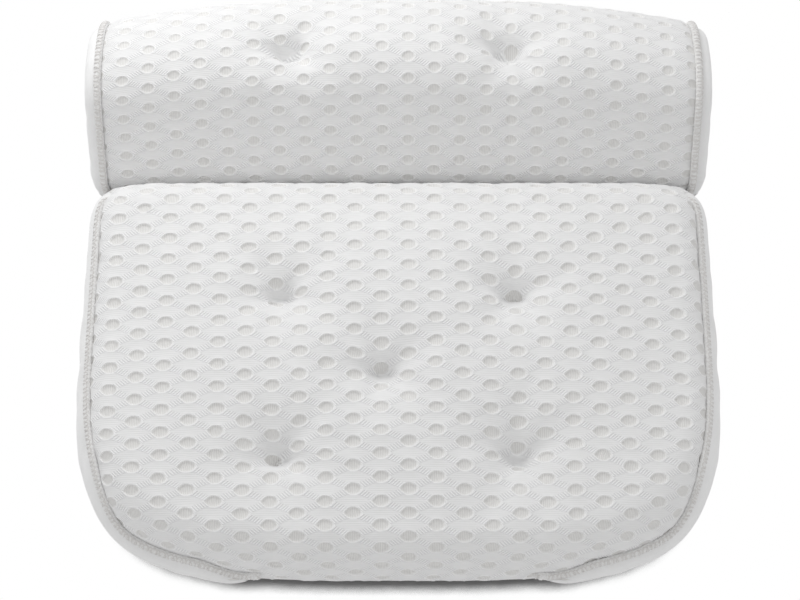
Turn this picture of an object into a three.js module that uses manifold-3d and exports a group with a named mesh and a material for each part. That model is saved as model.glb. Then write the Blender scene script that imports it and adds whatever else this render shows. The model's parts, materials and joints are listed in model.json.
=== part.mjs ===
// Bath pillow: a head cushion that folds on a back cushion, covered in air mesh, on six suction cups.
// Millimetres. It lies on its cups with the front face up, +Y towards the head and +X to the right.
import * as THREE from 'three';
import { mergeVertices } from 'three/addons/utils/BufferGeometryUtils.js';
import Module from 'manifold-3d';

const wasm = await Module();
wasm.setup();

// Overall sizes
const WIDTH = 390;
const LENGTH = 366;
const BACK_LENGTH = 252;
const STANDOFF = 18;

// Fabric and clearances
const FABRIC = 4;
const FILLING_GAP = 0.6;
const SEAM_GAP = 0.4;
const PART_GAP = 0.3;
const CREASE_GAP = 1;
const REAR_TURN_UP = 9;
const REAR_ROUND = 10;

// Back cushion
const BACK_BOTTOM_THICKNESS = 50;
const BACK_FOLD_THICKNESS = 62;
const BACK_CROWN = 13;
const BACK_FRONT_ROUND = 26;
const BACK_WIDEST_FROM_FOLD = 104;
const BACK_UPPER_CORNER = 14;
const BACK_LOWER_CORNER = 3.8;
const GUSSET_HEIGHT = 40;
const GUSSET_TIP_FROM_SIDE = 112;
const GUSSET_TIP_HEIGHT = 15;
const GUSSET_FULL_FROM_SIDE = 16;
const GUSSET_SWEEP = 2;
const GUSSET_TO_FOLD = 14;

// Head cushion
const HEAD_HEIGHT = 98;
const HEAD_FAR_DROP = 12;
const HEAD_CREST_FROM_FAR_EDGE = 64;
const HEAD_FOLD_HEIGHT = 32;
const HEAD_CREST_ROUND = 40;
const HEAD_FAR_ROUND = 38;
const HEAD_FOLD_ROUND = 20;
const HEAD_FAR_REAR_ROUND = 14;
const HEAD_END_ROUND = 8;
const HEAD_END_THINNING = 0.16;
const HEAD_END_SHORTENING = 0.12;
const END_TAPER_POWER = 2.5;
const END_CAP_INSET = 9;

// Piping, a cord that fills the slot between two panels, and the seam at the fold
const PIPING_RADIUS = 2.2;
const PIPING_DEPTH = 1;
const PIPING_SLACK = 0.8;
const FOLD_SEAM_FROM_SIDE = 49;

// Tufts, each a thread tied through the cushion
const BACK_TUFTS_FROM_SIDE = 125;
const HEAD_TUFTS_FROM_SIDE = 127;
const BACK_UPPER_TUFTS_FROM_FOLD = 89;
const BACK_LOWER_TUFTS_FROM_FOLD = 188;
const BACK_CENTRE_TUFT_FROM_FOLD = 138;
const BACK_CENTRE_TUFT_OFF_MIDDLE = 9;
const HEAD_TUFTS_FROM_FAR_EDGE = 50;
const BACK_TUFT_DEPTH = 22;
const HEAD_TUFT_DEPTH = 22;
const BACK_TUFT_RIM = 34;
const HEAD_TUFT_RIM = 30;
const TUFT_FLOOR = 5;
const TUFT_FADE = 0.22;
const KNOT_RADIUS = 4;
const KNOT_HEIGHT = 2;
const THREAD_RADIUS = 1.2;

// Suction cups and the eyelets that hold them
const CUPS_FROM_SIDE = 80;
const BACK_UPPER_CUPS_FROM_FOLD = 52;
const BACK_LOWER_CUPS_FROM_FOLD = 184;
const HEAD_CUPS_FROM_FAR_EDGE = 56;
const CUP_RADIUS = 26;
const CUP_LIP = 2.5;
const CUP_EDGE = 1.4;
const CUP_HOLLOW = 4;
const CUP_HEIGHT = 11;
const CUP_SHOULDER_RADIUS = 8;
const CUP_DISH = 1.4;
const NECK_RADIUS = 5;
const NECK_CLEARANCE = 0.5;
const CUP_HEAD_RADIUS = 7.5;
const CUP_HEAD_HEIGHT = 3;
const EYELET_WALL = 1.8;
const EYELET_FLANGE = 3;
const EYELET_FLANGE_THICKNESS = 1.2;

// Positions that follow from the sizes
const HALF_WIDTH = WIDTH / 2;
const BOTTOM_Y = -LENGTH / 2;
const TOP_Y = LENGTH / 2;
const FOLD_Y = BOTTOM_Y + BACK_LENGTH;
const BACK_TOP_Y = FOLD_Y - CREASE_GAP / 2;
const HEAD_FOLD_Y = FOLD_Y + CREASE_GAP / 2;
const REAR_Z = STANDOFF;
const WIDEST_Z = REAR_Z + REAR_ROUND;
const REAR_SEAM_Z = REAR_Z + REAR_TURN_UP;
const FILLING_DEPTH = FABRIC + FILLING_GAP;
const END_CAP_X = HALF_WIDTH - END_CAP_INSET;
const GUSSET_TIP_X = HALF_WIDTH - GUSSET_TIP_FROM_SIDE;
const GUSSET_FULL_X = HALF_WIDTH - GUSSET_FULL_FROM_SIDE;
const HEAD_CREST_Y = TOP_Y - HEAD_CREST_FROM_FAR_EDGE;
const BACK_TUFT_X = HALF_WIDTH - BACK_TUFTS_FROM_SIDE;
const HEAD_TUFT_X = HALF_WIDTH - HEAD_TUFTS_FROM_SIDE;
const CUP_X = HALF_WIDTH - CUPS_FROM_SIDE;
const HALF_SLOT = PIPING_RADIUS + PIPING_SLACK;
const EYELET_BORE = NECK_RADIUS + NECK_CLEARANCE;
const EYELET_WEB_RADIUS = EYELET_BORE + EYELET_WALL;
const EYELET_RADIUS = EYELET_WEB_RADIUS + EYELET_FLANGE;
const EYELET_TOP_Z = REAR_Z + FABRIC + PART_GAP + EYELET_FLANGE_THICKNESS;
const CUP_HEAD_Z = EYELET_TOP_Z + PART_GAP;
const CUP_TOP_Z = CUP_HEAD_Z + CUP_HEAD_HEIGHT;

// Mesh fineness
const FRONT_RIM_STEPS = 4;
const REAR_RIM_STEPS = 2;
const BACK_CELLS_ACROSS = 12;
const BACK_CELLS_ALONG = 8;
const HEAD_CELLS_ACROSS = 12;
const CORNER_STEP = Math.PI / 8;
const ROUND_SEGMENTS = 16;
const SMALL_SEGMENTS = 8;
const HOLLOW_SEGMENTS = 10;
const PROFILE_STEPS = 2;
const PIPING_SIDE_STEPS = 8;
const PIPING_TIP_STEPS = 8;
const PIPING_HALF_SIDES = 3;
const STEPS_PER_PIPING_POINT = 2;
const SEAM_HALVINGS = 20;
const SLIVER = 0.1;

// Fractions from 0 to 1 in equal steps.
function fractions(steps) {
  return Array.from({ length: steps + 1 }, (_, i) => i / steps);
}

// Solids from geometry and back

function toSolid(geometry) {
  const bare = geometry.clone();
  bare.deleteAttribute('normal');
  bare.deleteAttribute('uv');
  const welded = mergeVertices(bare, 1e-4);
  const corners = welded.index.array;
  const kept = [];
  for (let i = 0; i < corners.length; i += 3) {
    const [a, b, c] = corners.slice(i, i + 3);
    if (a !== b && b !== c && c !== a) kept.push(a, b, c);
  }
  return new wasm.Manifold(new wasm.Mesh({
    numProp: 3,
    vertProperties: new Float32Array(welded.attributes.position.array),
    triVerts: new Uint32Array(kept),
  }));
}

function toGeometry(solid) {
  const mesh = solid.simplify(SLIVER).getMesh();
  const geometry = new THREE.BufferGeometry();
  geometry.setAttribute('position', new THREE.BufferAttribute(mesh.vertProperties, 3));
  geometry.setIndex(new THREE.BufferAttribute(mesh.triVerts, 1));
  return geometry;
}

function geometryFromTriangles(points) {
  const geometry = new THREE.BufferGeometry();
  geometry.setAttribute('position', new THREE.Float32BufferAttribute(points.flat(), 3));
  return geometry;
}

// A closed turned form about a vertical axis; the profile runs up from the axis and back to it.
function turned(profile, x, y, segments) {
  const outline = profile.map(([radius, z]) => new THREE.Vector2(radius, z));
  return new THREE.LatheGeometry(outline, segments).rotateX(Math.PI / 2).translate(x, y, 0);
}

function box(low, high) {
  const size = high.map((value, axis) => value - low[axis]);
  const middle = high.map((value, axis) => (value + low[axis]) / 2);
  return new THREE.BoxGeometry(...size).translate(...middle);
}

function post(x, y, radius, lowZ, highZ, segments) {
  return toSolid(turned([[0, lowZ], [radius, lowZ], [radius, highZ], [0, highZ]], x, y, segments));
}

function tube(points, radius) {
  const path = new THREE.CatmullRomCurve3(points);
  const round = new THREE.Shape().absarc(0, 0, radius, 0, 2 * Math.PI);
  return new THREE.ExtrudeGeometry(round, {
    extrudePath: path,
    steps: points.length * STEPS_PER_PIPING_POINT,
    curveSegments: PIPING_HALF_SIDES,
    bevelEnabled: false,
  });
}

// Back cushion: a padded form on a plan that is square at the fold and round at the lower corners

function backThickness(across, along) {
  const wedge = THREE.MathUtils.lerp(BACK_BOTTOM_THICKNESS, BACK_FOLD_THICKNESS, (along + 1) / 2);
  return wedge + BACK_CROWN * (1 - across ** 2) * (1 - along ** 2);
}

const BACK_WIDEST_Y = BACK_TOP_Y - BACK_WIDEST_FROM_FOLD;

function backReach(upward) {
  return upward ? BACK_TOP_Y - BACK_WIDEST_Y : BACK_WIDEST_Y - BOTTOM_Y;
}

// Where a point of the square from -1 to 1 falls on the plan, drawn in from the rim by the inset.
function backPlan(p, q, inset) {
  const power = q > 0 ? BACK_UPPER_CORNER : BACK_LOWER_CORNER;
  const rim = Math.max(Math.abs(p), Math.abs(q));
  const rounding = rim === 0 ? 1 : rim / (Math.abs(p) ** power + Math.abs(q) ** power) ** (1 / power);
  const across = p * rounding;
  const along = q * rounding;
  return {
    across,
    along,
    x: across * (HALF_WIDTH - inset),
    y: BACK_WIDEST_Y + along * (backReach(q > 0) - inset),
  };
}

function backFrontPoint(p, q, depth) {
  const plan = backPlan(p, q, BACK_FRONT_ROUND);
  return [plan.x, plan.y, REAR_Z + backThickness(plan.across, plan.along) - depth];
}

// A point of the rounded rim, from -90 degrees at the rear panel to +90 degrees at the front.
function backRimPoint(p, q, angle, depth) {
  const round = (angle < 0 ? REAR_ROUND : BACK_FRONT_ROUND) - depth;
  const plan = backPlan(p, q, depth + round * (1 - Math.cos(angle)));
  const front = REAR_Z + backThickness(plan.across, plan.along) - depth;
  const rise = angle < 0 ? WIDEST_Z - REAR_Z - depth : front - WIDEST_Z;
  return [plan.x, plan.y, WIDEST_Z + rise * Math.sin(angle)];
}

function squareRim(across, along) {
  const corners = [[-1, -1], [1, -1], [1, 1], [-1, 1]];
  return corners.flatMap(([p, q], side) => {
    const [nextP, nextQ] = corners[(side + 1) % 4];
    const cells = side % 2 === 0 ? across : along;
    return Array.from({ length: cells }, (_, i) => [
      p + (nextP - p) * i / cells,
      q + (nextQ - q) * i / cells,
    ]);
  });
}

const rimAngles = [
  ...fractions(REAR_RIM_STEPS).slice(0, -1).map((part) => Math.PI / 2 * (part - 1)),
  ...fractions(FRONT_RIM_STEPS).map((part) => Math.PI / 2 * part),
];

function backSolid(depth) {
  const triangles = [];
  const quad = (a, b, c, d) => triangles.push(a, b, c, a, c, d);
  const rim = squareRim(BACK_CELLS_ACROSS, BACK_CELLS_ALONG);
  const rearMiddle = [0, BACK_WIDEST_Y, REAR_Z + depth];
  rim.forEach(([p, q], i) => {
    const [nextP, nextQ] = rim[(i + 1) % rim.length];
    triangles.push(
      rearMiddle,
      backRimPoint(nextP, nextQ, -Math.PI / 2, depth),
      backRimPoint(p, q, -Math.PI / 2, depth),
    );
    rimAngles.slice(1).forEach((high, ring) => {
      const low = rimAngles[ring];
      quad(
        backRimPoint(p, q, low, depth),
        backRimPoint(nextP, nextQ, low, depth),
        backRimPoint(nextP, nextQ, high, depth),
        backRimPoint(p, q, high, depth),
      );
    });
  });
  for (let column = 0; column < BACK_CELLS_ACROSS; column += 1) {
    for (let row = 0; row < BACK_CELLS_ALONG; row += 1) {
      const corner = (right, up) => backFrontPoint(
        -1 + 2 * (column + right) / BACK_CELLS_ACROSS,
        -1 + 2 * (row + up) / BACK_CELLS_ALONG,
        depth,
      );
      quad(corner(0, 0), corner(1, 0), corner(1, 1), corner(0, 1));
    }
  }
  return toSolid(geometryFromTriangles(triangles));
}

function backLevelAt(x, y) {
  const across = x / (HALF_WIDTH - BACK_FRONT_ROUND);
  const along = (y - BACK_WIDEST_Y) / (backReach(y > BACK_WIDEST_Y) - BACK_FRONT_ROUND);
  return REAR_Z + backThickness(across, along);
}

// Head cushion: a rounded section drawn along the width, thinner and shorter towards both ends

const headCorners = [
  { y: HEAD_FOLD_Y, z: REAR_Z, radius: REAR_ROUND },
  { y: TOP_Y, z: REAR_Z, radius: HEAD_FAR_REAR_ROUND },
  { y: TOP_Y, z: REAR_Z + HEAD_HEIGHT - HEAD_FAR_DROP, radius: HEAD_FAR_ROUND },
  { y: HEAD_CREST_Y, z: REAR_Z + HEAD_HEIGHT, radius: HEAD_CREST_ROUND },
  { y: HEAD_FOLD_Y, z: REAR_Z + HEAD_FOLD_HEIGHT, radius: HEAD_FOLD_ROUND },
];

function roundedCorner(corner, before, after) {
  const here = new THREE.Vector2(corner.y, corner.z);
  const back = new THREE.Vector2(before.y, before.z).sub(here).normalize();
  const onward = new THREE.Vector2(after.y, after.z).sub(here).normalize();
  const halfAngle = back.angleTo(onward) / 2;
  const centre = back.clone().add(onward).setLength(corner.radius / Math.sin(halfAngle)).add(here);
  const from = Math.atan2(back.y, back.x) + Math.PI / 2;
  const turn = Math.PI - 2 * halfAngle;
  const steps = Math.max(2, Math.round(turn / CORNER_STEP));
  return { centre, radius: corner.radius, from, turn, steps };
}

const headArcs = headCorners.map((corner, i) => roundedCorner(
  corner,
  headCorners.at(i - 1),
  headCorners[(i + 1) % headCorners.length],
));

function headSection(inset) {
  return headArcs.flatMap((arc) => fractions(arc.steps).map((part) => {
    const angle = arc.from + arc.turn * part;
    const radius = arc.radius - inset;
    return { y: arc.centre.x + radius * Math.cos(angle), z: arc.centre.y + radius * Math.sin(angle) };
  }));
}

function headPoint(x, sectionPoint) {
  const towardsEnd = (Math.abs(x) / HALF_WIDTH) ** END_TAPER_POWER;
  return [
    x,
    FOLD_Y + (sectionPoint.y - FOLD_Y) * (1 - HEAD_END_SHORTENING * towardsEnd),
    REAR_Z + (sectionPoint.z - REAR_Z) * (1 - HEAD_END_THINNING * towardsEnd),
  ];
}

function headStations(depth) {
  const round = HEAD_END_ROUND - depth;
  const straight = HALF_WIDTH - HEAD_END_ROUND;
  const end = [Math.PI / 4, Math.PI / 2].map((angle) => ({
    x: straight + round * Math.sin(angle),
    inset: depth + round * (1 - Math.cos(angle)),
  }));
  const middle = fractions(HEAD_CELLS_ACROSS).map((part) => ({ x: straight * (2 * part - 1), inset: depth }));
  const mirrored = end.map(({ x, inset }) => ({ x: -x, inset })).reverse();
  return [...mirrored, ...middle, ...end];
}

function headSolid(depth) {
  const ringAt = ({ x, inset }) => headSection(inset).map((point) => headPoint(x, point));
  const rings = headStations(depth).map(ringAt);
  const triangles = [];
  rings.slice(1).forEach((ring, i) => {
    ring.forEach((point, k) => {
      const next = (k + 1) % ring.length;
      triangles.push(rings[i][k], ring[next], point, rings[i][k], rings[i][next], ring[next]);
    });
  });
  const first = rings[0];
  const last = rings.at(-1);
  for (let k = 1; k < first.length - 1; k += 1) {
    triangles.push(first[0], first[k + 1], first[k]);
    triangles.push(last[0], last[k], last[k + 1]);
  }
  return toSolid(geometryFromTriangles(triangles));
}

function headLevelAt(x, y) {
  const drop = HEAD_FAR_DROP / HEAD_CREST_FROM_FAR_EDGE;
  const z = REAR_Z + HEAD_HEIGHT - drop * (y - HEAD_CREST_Y);
  return headPoint(x, { y, z })[2];
}

// Tufts

function backTuft(name, x, fromFold) {
  const y = FOLD_Y - fromFold;
  const hollow = { depth: BACK_TUFT_DEPTH, rim: BACK_TUFT_RIM };
  return { name: `back_tuft_${name}`, x, y, top: backLevelAt(x, y), ...hollow };
}

function headTuft(name, x) {
  const y = TOP_Y - HEAD_TUFTS_FROM_FAR_EDGE;
  const hollow = { depth: HEAD_TUFT_DEPTH, rim: HEAD_TUFT_RIM };
  return { name: `head_tuft_${name}`, x, y, top: headLevelAt(x, y), ...hollow };
}

const backTufts = [
  backTuft('upper_left', -BACK_TUFT_X, BACK_UPPER_TUFTS_FROM_FOLD),
  backTuft('upper_right', BACK_TUFT_X, BACK_UPPER_TUFTS_FROM_FOLD),
  backTuft('centre', -BACK_CENTRE_TUFT_OFF_MIDDLE, BACK_CENTRE_TUFT_FROM_FOLD),
  backTuft('lower_left', -BACK_TUFT_X, BACK_LOWER_TUFTS_FROM_FOLD),
  backTuft('lower_right', BACK_TUFT_X, BACK_LOWER_TUFTS_FROM_FOLD),
];
const headTufts = [headTuft('left', -HEAD_TUFT_X), headTuft('right', HEAD_TUFT_X)];

// The hollow a tuft pulls into the front: a flat floor and a side that flares out to the rim.
function tuftHollow({ x, y, top, depth, rim }, below) {
  const floor = top - depth - below;
  const flare = fractions(PROFILE_STEPS).map((part) => [
    THREE.MathUtils.lerp(TUFT_FLOOR, rim, part),
    floor + depth * (1 - (1 - part) ** 2),
  ]);
  const fade = [2 * rim, floor + depth + TUFT_FADE * rim];
  const clear = top + HEAD_HEIGHT;
  const profile = [[0, floor], ...flare, fade, [fade[0], clear], [0, clear]];
  return toSolid(turned(profile, x, y, HOLLOW_SEGMENTS));
}

function tuftTie({ x, y, top, depth }) {
  const frontKnot = top - depth + PART_GAP;
  const rearKnot = REAR_Z - PART_GAP;
  return turned([
    [0, rearKnot - KNOT_HEIGHT],
    [KNOT_RADIUS, rearKnot - KNOT_HEIGHT],
    [KNOT_RADIUS, rearKnot],
    [THREAD_RADIUS, rearKnot],
    [THREAD_RADIUS, frontKnot],
    [KNOT_RADIUS, frontKnot],
    [KNOT_RADIUS, frontKnot + KNOT_HEIGHT],
    [0, frontKnot + KNOT_HEIGHT],
  ], x, y, SMALL_SEGMENTS);
}

function tuftHole({ x, y, top }) {
  return post(x, y, THREAD_RADIUS + PART_GAP, 0, top, SMALL_SEGMENTS);
}

function withTufts(solid, tufts, below) {
  return tufts.reduce((rest, each) => rest.subtract(tuftHollow(each, below)), solid);
}

function withHoles(solid, tufts) {
  return tufts.reduce((rest, each) => rest.subtract(tuftHole(each)), solid);
}

// Suction cups and eyelets

function cupPair(name, y) {
  return [{ name: `${name}_left`, x: -CUP_X, y }, { name: `${name}_right`, x: CUP_X, y }];
}

const backCups = [
  ...cupPair('back_upper', FOLD_Y - BACK_UPPER_CUPS_FROM_FOLD),
  ...cupPair('back_lower', FOLD_Y - BACK_LOWER_CUPS_FROM_FOLD),
];
const headCups = cupPair('head', TOP_Y - HEAD_CUPS_FROM_FAR_EDGE);

function suctionCup({ x, y }) {
  const hollowRadius = CUP_RADIUS - CUP_LIP;
  const hollow = fractions(PROFILE_STEPS).map((part) => [hollowRadius * part, CUP_HOLLOW * (1 - part ** 2)]);
  const dome = fractions(PROFILE_STEPS).map((part) => [
    THREE.MathUtils.lerp(CUP_RADIUS, CUP_SHOULDER_RADIUS, part),
    THREE.MathUtils.lerp(CUP_EDGE, CUP_HEIGHT, part ** CUP_DISH),
  ]);
  return turned([
    ...hollow,
    [CUP_RADIUS, 0],
    ...dome,
    [NECK_RADIUS, CUP_HEIGHT],
    [NECK_RADIUS, CUP_HEAD_Z],
    [CUP_HEAD_RADIUS, CUP_HEAD_Z],
    [NECK_RADIUS, CUP_TOP_Z],
    [0, CUP_TOP_Z],
  ], x, y, ROUND_SEGMENTS);
}

// A ring set into the rear panel, with a flange on each side of the fabric.
function eyelet({ x, y }) {
  const outside = REAR_Z - PART_GAP;
  const inside = REAR_Z + FABRIC + PART_GAP;
  const profile = [
    [EYELET_BORE, outside - EYELET_FLANGE_THICKNESS],
    [EYELET_RADIUS, outside - EYELET_FLANGE_THICKNESS],
    [EYELET_RADIUS, outside],
    [EYELET_WEB_RADIUS, outside],
    [EYELET_WEB_RADIUS, inside],
    [EYELET_RADIUS, inside],
    [EYELET_RADIUS, EYELET_TOP_Z],
    [EYELET_BORE, EYELET_TOP_Z],
  ];
  return turned([...profile, profile[0]], x, y, ROUND_SEGMENTS);
}

function eyeletHole({ x, y }) {
  return post(x, y, EYELET_WEB_RADIUS + PART_GAP, 0, REAR_Z + 2 * FABRIC, ROUND_SEGMENTS);
}

function eyeletPocket({ x, y }) {
  return post(x, y, EYELET_RADIUS + PART_GAP, 0, CUP_TOP_Z + PART_GAP, ROUND_SEGMENTS);
}

// Panels cut from a cushion's skin

const FAR = WIDTH + LENGTH;

function below(z) {
  return toSolid(box([-FAR, -FAR, -FAR], [FAR, FAR, z]));
}

function between(lowX, highX) {
  return toSolid(box([lowX, -FAR, -FAR], [highX, FAR, FAR]));
}

// The seam above a side gusset: low at the tip under the bottom edge, full at the side, and from there
// on it rises as fast as it goes out, which is about square to the padded rim.
function gussetSeamZ(x) {
  const out = Math.abs(x);
  const part = THREE.MathUtils.clamp((out - GUSSET_TIP_X) / (GUSSET_FULL_X - GUSSET_TIP_X), 0, 1);
  const height = THREE.MathUtils.lerp(GUSSET_TIP_HEIGHT, GUSSET_HEIGHT, part ** GUSSET_SWEEP);
  return REAR_Z + height + Math.max(0, out - GUSSET_FULL_X);
}

// The angle round the rim at which the seam lies, found by halving.
function seamAngle(p, q, depth) {
  let low = 0;
  let high = Math.PI / 2;
  for (let i = 0; i < SEAM_HALVINGS; i += 1) {
    const middle = (low + high) / 2;
    const [x, , z] = backRimPoint(p, q, middle, depth);
    if (z < gussetSeamZ(x)) low = middle;
    else high = middle;
  }
  return (low + high) / 2;
}

const gussetRise = fractions(PIPING_TIP_STEPS)
  .map((part) => THREE.MathUtils.lerp(GUSSET_FULL_X, GUSSET_TIP_X, part));

// The space that a side gusset fills, grown beyond its seam or drawn back from it.
function gussetSpace(side, grow) {
  const low = REAR_SEAM_Z - FABRIC;
  const tip = GUSSET_TIP_X - grow;
  const outside = HALF_WIDTH + FABRIC;
  const aslant = grow / Math.SQRT2;
  const face = new THREE.Shape([
    new THREE.Vector2(tip, low),
    new THREE.Vector2(outside, low),
    new THREE.Vector2(outside, gussetSeamZ(outside + aslant) + aslant),
    ...gussetRise.map((x) => new THREE.Vector2(x - aslant, gussetSeamZ(x) + aslant)),
  ]);
  const block = new THREE.ExtrudeGeometry(face, { depth: BACK_LENGTH, bevelEnabled: false })
    .rotateX(Math.PI / 2)
    .translate(0, BACK_TOP_Y - GUSSET_TO_FOLD + grow, 0);
  const solid = toSolid(block);
  return side > 0 ? solid : solid.mirror([1, 0, 0]);
}

// The piping runs down the side, round the lower corner and along the bottom edge to the gusset's tip.
function backPipingPath(side) {
  const topAlong = 1 - GUSSET_TO_FOLD / BACK_WIDEST_FROM_FOLD;
  const downSide = fractions(PIPING_SIDE_STEPS).map((part) => [1, THREE.MathUtils.lerp(topAlong, -1, part)]);
  const alongBottom = gussetRise.map((x) => [x / HALF_WIDTH, -1]);
  return [...downSide, ...alongBottom].map(([p, q]) => {
    const [x, y, z] = backRimPoint(p, q, seamAngle(p, q, PIPING_DEPTH), PIPING_DEPTH);
    return new THREE.Vector3(side * x, y, z);
  });
}

// The piping follows the section over the front, from the far edge to the crease.
function headPipingPath(side) {
  const x = side * END_CAP_X;
  const lowZ = REAR_SEAM_Z + PIPING_RADIUS + PART_GAP;
  const over = headSection(PIPING_DEPTH)
    .map((point) => new THREE.Vector3(...headPoint(x, point)))
    .filter(({ z }) => z > lowZ + PIPING_RADIUS);
  const farEnd = new THREE.Vector3(x, over[0].y, lowZ);
  const foldEnd = new THREE.Vector3(x, over.at(-1).y, lowZ);
  return [farEnd, ...over, foldEnd];
}

// The seam cord lies in the notch between the two rounded rear edges, level with the rear panels.
function foldSeam() {
  const wide = REAR_ROUND + CREASE_GAP / 2;
  const reach = REAR_ROUND + PART_GAP;
  const radius = (wide ** 2 + REAR_ROUND ** 2 - reach ** 2) / (2 * REAR_ROUND + 2 * reach);
  const length = 2 * (HALF_WIDTH - FOLD_SEAM_FROM_SIDE);
  return new THREE.CylinderGeometry(radius, radius, length, SMALL_SEGMENTS)
    .rotateZ(Math.PI / 2)
    .translate(0, FOLD_Y, REAR_Z + radius);
}

// Materials

function surface(colour, roughness) {
  return new THREE.MeshStandardMaterial({ color: colour, roughness, metalness: 0 });
}

const airMesh = surface('#f1f1ef', 0.9);
const knit = surface('#f6f6f5', 0.85);
const foam = surface('#e9e6da', 0.95);
const thread = surface('#e4e4e2', 0.8);
const plastic = surface('#f2f3f4', 0.35);
const softPlastic = surface('#dfe7ea', 0.15);

// Assembly

const pillow = new THREE.Group();
pillow.name = 'bath_pillow';

function addPiece(name, geometry, material) {
  const mesh = new THREE.Mesh(geometry, material.clone());
  mesh.name = name;
  pillow.add(mesh);
}

function addFittings(tufts, cups) {
  tufts.forEach((each) => addPiece(each.name, tuftTie(each), thread));
  cups.forEach((each) => {
    addPiece(`${each.name}_eyelet`, eyelet(each), plastic);
    addPiece(`${each.name}_suction_cup`, suctionCup(each), softPlastic);
  });
}

function cutOut(solid, tools) {
  return tools.reduce((rest, tool) => rest.subtract(tool), solid);
}

function addBackCushion() {
  const shape = (depth) => withTufts(backSolid(depth), backTufts, depth);
  const skin = withHoles(shape(0).subtract(shape(FABRIC)), backTufts);
  const wrap = skin.subtract(below(REAR_SEAM_Z));
  const front = cutOut(wrap, [gussetSpace(-1, HALF_SLOT), gussetSpace(1, HALF_SLOT)]);
  const rear = cutOut(skin.intersect(below(REAR_SEAM_Z - SEAM_GAP)), backCups.map(eyeletHole));
  const filling = cutOut(withHoles(shape(FILLING_DEPTH), backTufts), backCups.map(eyeletPocket));
  addPiece('back_front_cover', toGeometry(front), airMesh);
  addPiece('back_rear_panel', toGeometry(rear), airMesh);
  addPiece('back_filling', toGeometry(filling), foam);
  [['left', -1], ['right', 1]].forEach(([name, side]) => {
    addPiece(`back_gusset_${name}`, toGeometry(wrap.intersect(gussetSpace(side, -HALF_SLOT))), knit);
    addPiece(`back_piping_${name}`, tube(backPipingPath(side), PIPING_RADIUS), knit);
  });
  addFittings(backTufts, backCups);
}

function addHeadCushion() {
  const shape = (depth) => withTufts(headSolid(depth), headTufts, depth);
  const skin = withHoles(shape(0).subtract(shape(FABRIC)), headTufts);
  const wrap = skin.subtract(below(REAR_SEAM_Z));
  const front = wrap.intersect(between(HALF_SLOT - END_CAP_X, END_CAP_X - HALF_SLOT));
  const rear = cutOut(skin.intersect(below(REAR_SEAM_Z - SEAM_GAP)), headCups.map(eyeletHole));
  const filling = cutOut(withHoles(shape(FILLING_DEPTH), headTufts), headCups.map(eyeletPocket));
  const endSpaces = {
    left: between(-FAR, -END_CAP_X - HALF_SLOT),
    right: between(END_CAP_X + HALF_SLOT, FAR),
  };
  addPiece('head_front_cover', toGeometry(front), airMesh);
  addPiece('head_rear_panel', toGeometry(rear), airMesh);
  addPiece('head_filling', toGeometry(filling), foam);
  [['left', -1], ['right', 1]].forEach(([name, side]) => {
    addPiece(`head_end_cap_${name}`, toGeometry(wrap.intersect(endSpaces[name])), knit);
    addPiece(`head_piping_${name}`, tube(headPipingPath(side), PIPING_RADIUS), knit);
  });
  addFittings(headTufts, headCups);
}

addBackCushion();
addHeadCushion();
addPiece('fold_seam', foldSeam(), knit);

export default pillow;
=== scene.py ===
import json
import math
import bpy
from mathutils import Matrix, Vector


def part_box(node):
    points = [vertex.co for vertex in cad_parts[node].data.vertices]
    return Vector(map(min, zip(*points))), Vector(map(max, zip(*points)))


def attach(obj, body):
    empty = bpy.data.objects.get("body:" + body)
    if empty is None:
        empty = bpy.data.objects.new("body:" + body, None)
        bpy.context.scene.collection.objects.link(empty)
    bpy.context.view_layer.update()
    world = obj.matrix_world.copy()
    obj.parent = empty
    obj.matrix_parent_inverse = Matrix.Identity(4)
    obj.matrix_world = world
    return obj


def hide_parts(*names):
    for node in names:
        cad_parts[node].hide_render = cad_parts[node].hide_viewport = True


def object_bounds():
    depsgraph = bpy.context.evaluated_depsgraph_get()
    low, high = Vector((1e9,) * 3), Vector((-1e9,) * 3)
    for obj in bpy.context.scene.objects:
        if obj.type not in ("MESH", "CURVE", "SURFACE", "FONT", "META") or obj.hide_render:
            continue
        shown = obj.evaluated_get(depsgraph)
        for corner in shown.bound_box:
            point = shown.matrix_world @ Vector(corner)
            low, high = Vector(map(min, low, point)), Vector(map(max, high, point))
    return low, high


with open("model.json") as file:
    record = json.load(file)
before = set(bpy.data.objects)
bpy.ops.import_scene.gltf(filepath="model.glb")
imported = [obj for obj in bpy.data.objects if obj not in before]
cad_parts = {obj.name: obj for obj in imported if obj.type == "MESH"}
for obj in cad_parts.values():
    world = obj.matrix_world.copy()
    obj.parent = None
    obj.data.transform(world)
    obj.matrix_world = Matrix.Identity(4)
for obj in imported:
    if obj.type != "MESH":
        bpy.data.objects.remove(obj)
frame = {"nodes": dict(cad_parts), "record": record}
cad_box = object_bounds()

from types import SimpleNamespace

import bmesh
import bpy
import numpy as np
from mathutils import Vector
from mathutils.bvhtree import BVHTree
from mathutils.kdtree import KDTree

# Bath pillow: a head cushion and a back cushion in white air mesh, joined at a fold, on six suction cups.
# Metres. It lies on its cups with the front face up, +Y towards the head and +X to the right.

# Places from the frame
HALF_WIDTH = cad_box[1].x
BOTTOM_Y = cad_box[0].y
TOP_Y = cad_box[1].y
REAR_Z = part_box("back_rear_panel")[0].z
FOLD_LOW, FOLD_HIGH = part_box("fold_seam")
FOLD_Y = (FOLD_LOW.y + FOLD_HIGH.y) / 2
HOME = {
    node: body
    for body, nodes in frame["record"]["behaviour"]["bodies"].items()
    for node in nodes
}

# Cushions
CREASE_GAP = 0.001
BACK_TOP_Y = FOLD_Y - CREASE_GAP / 2
HEAD_FOLD_Y = FOLD_Y + CREASE_GAP / 2
REAR_ROUND = 0.010
WIDEST_Z = REAR_Z + REAR_ROUND
REAR_SEAM_Z = REAR_Z + 0.009

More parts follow.
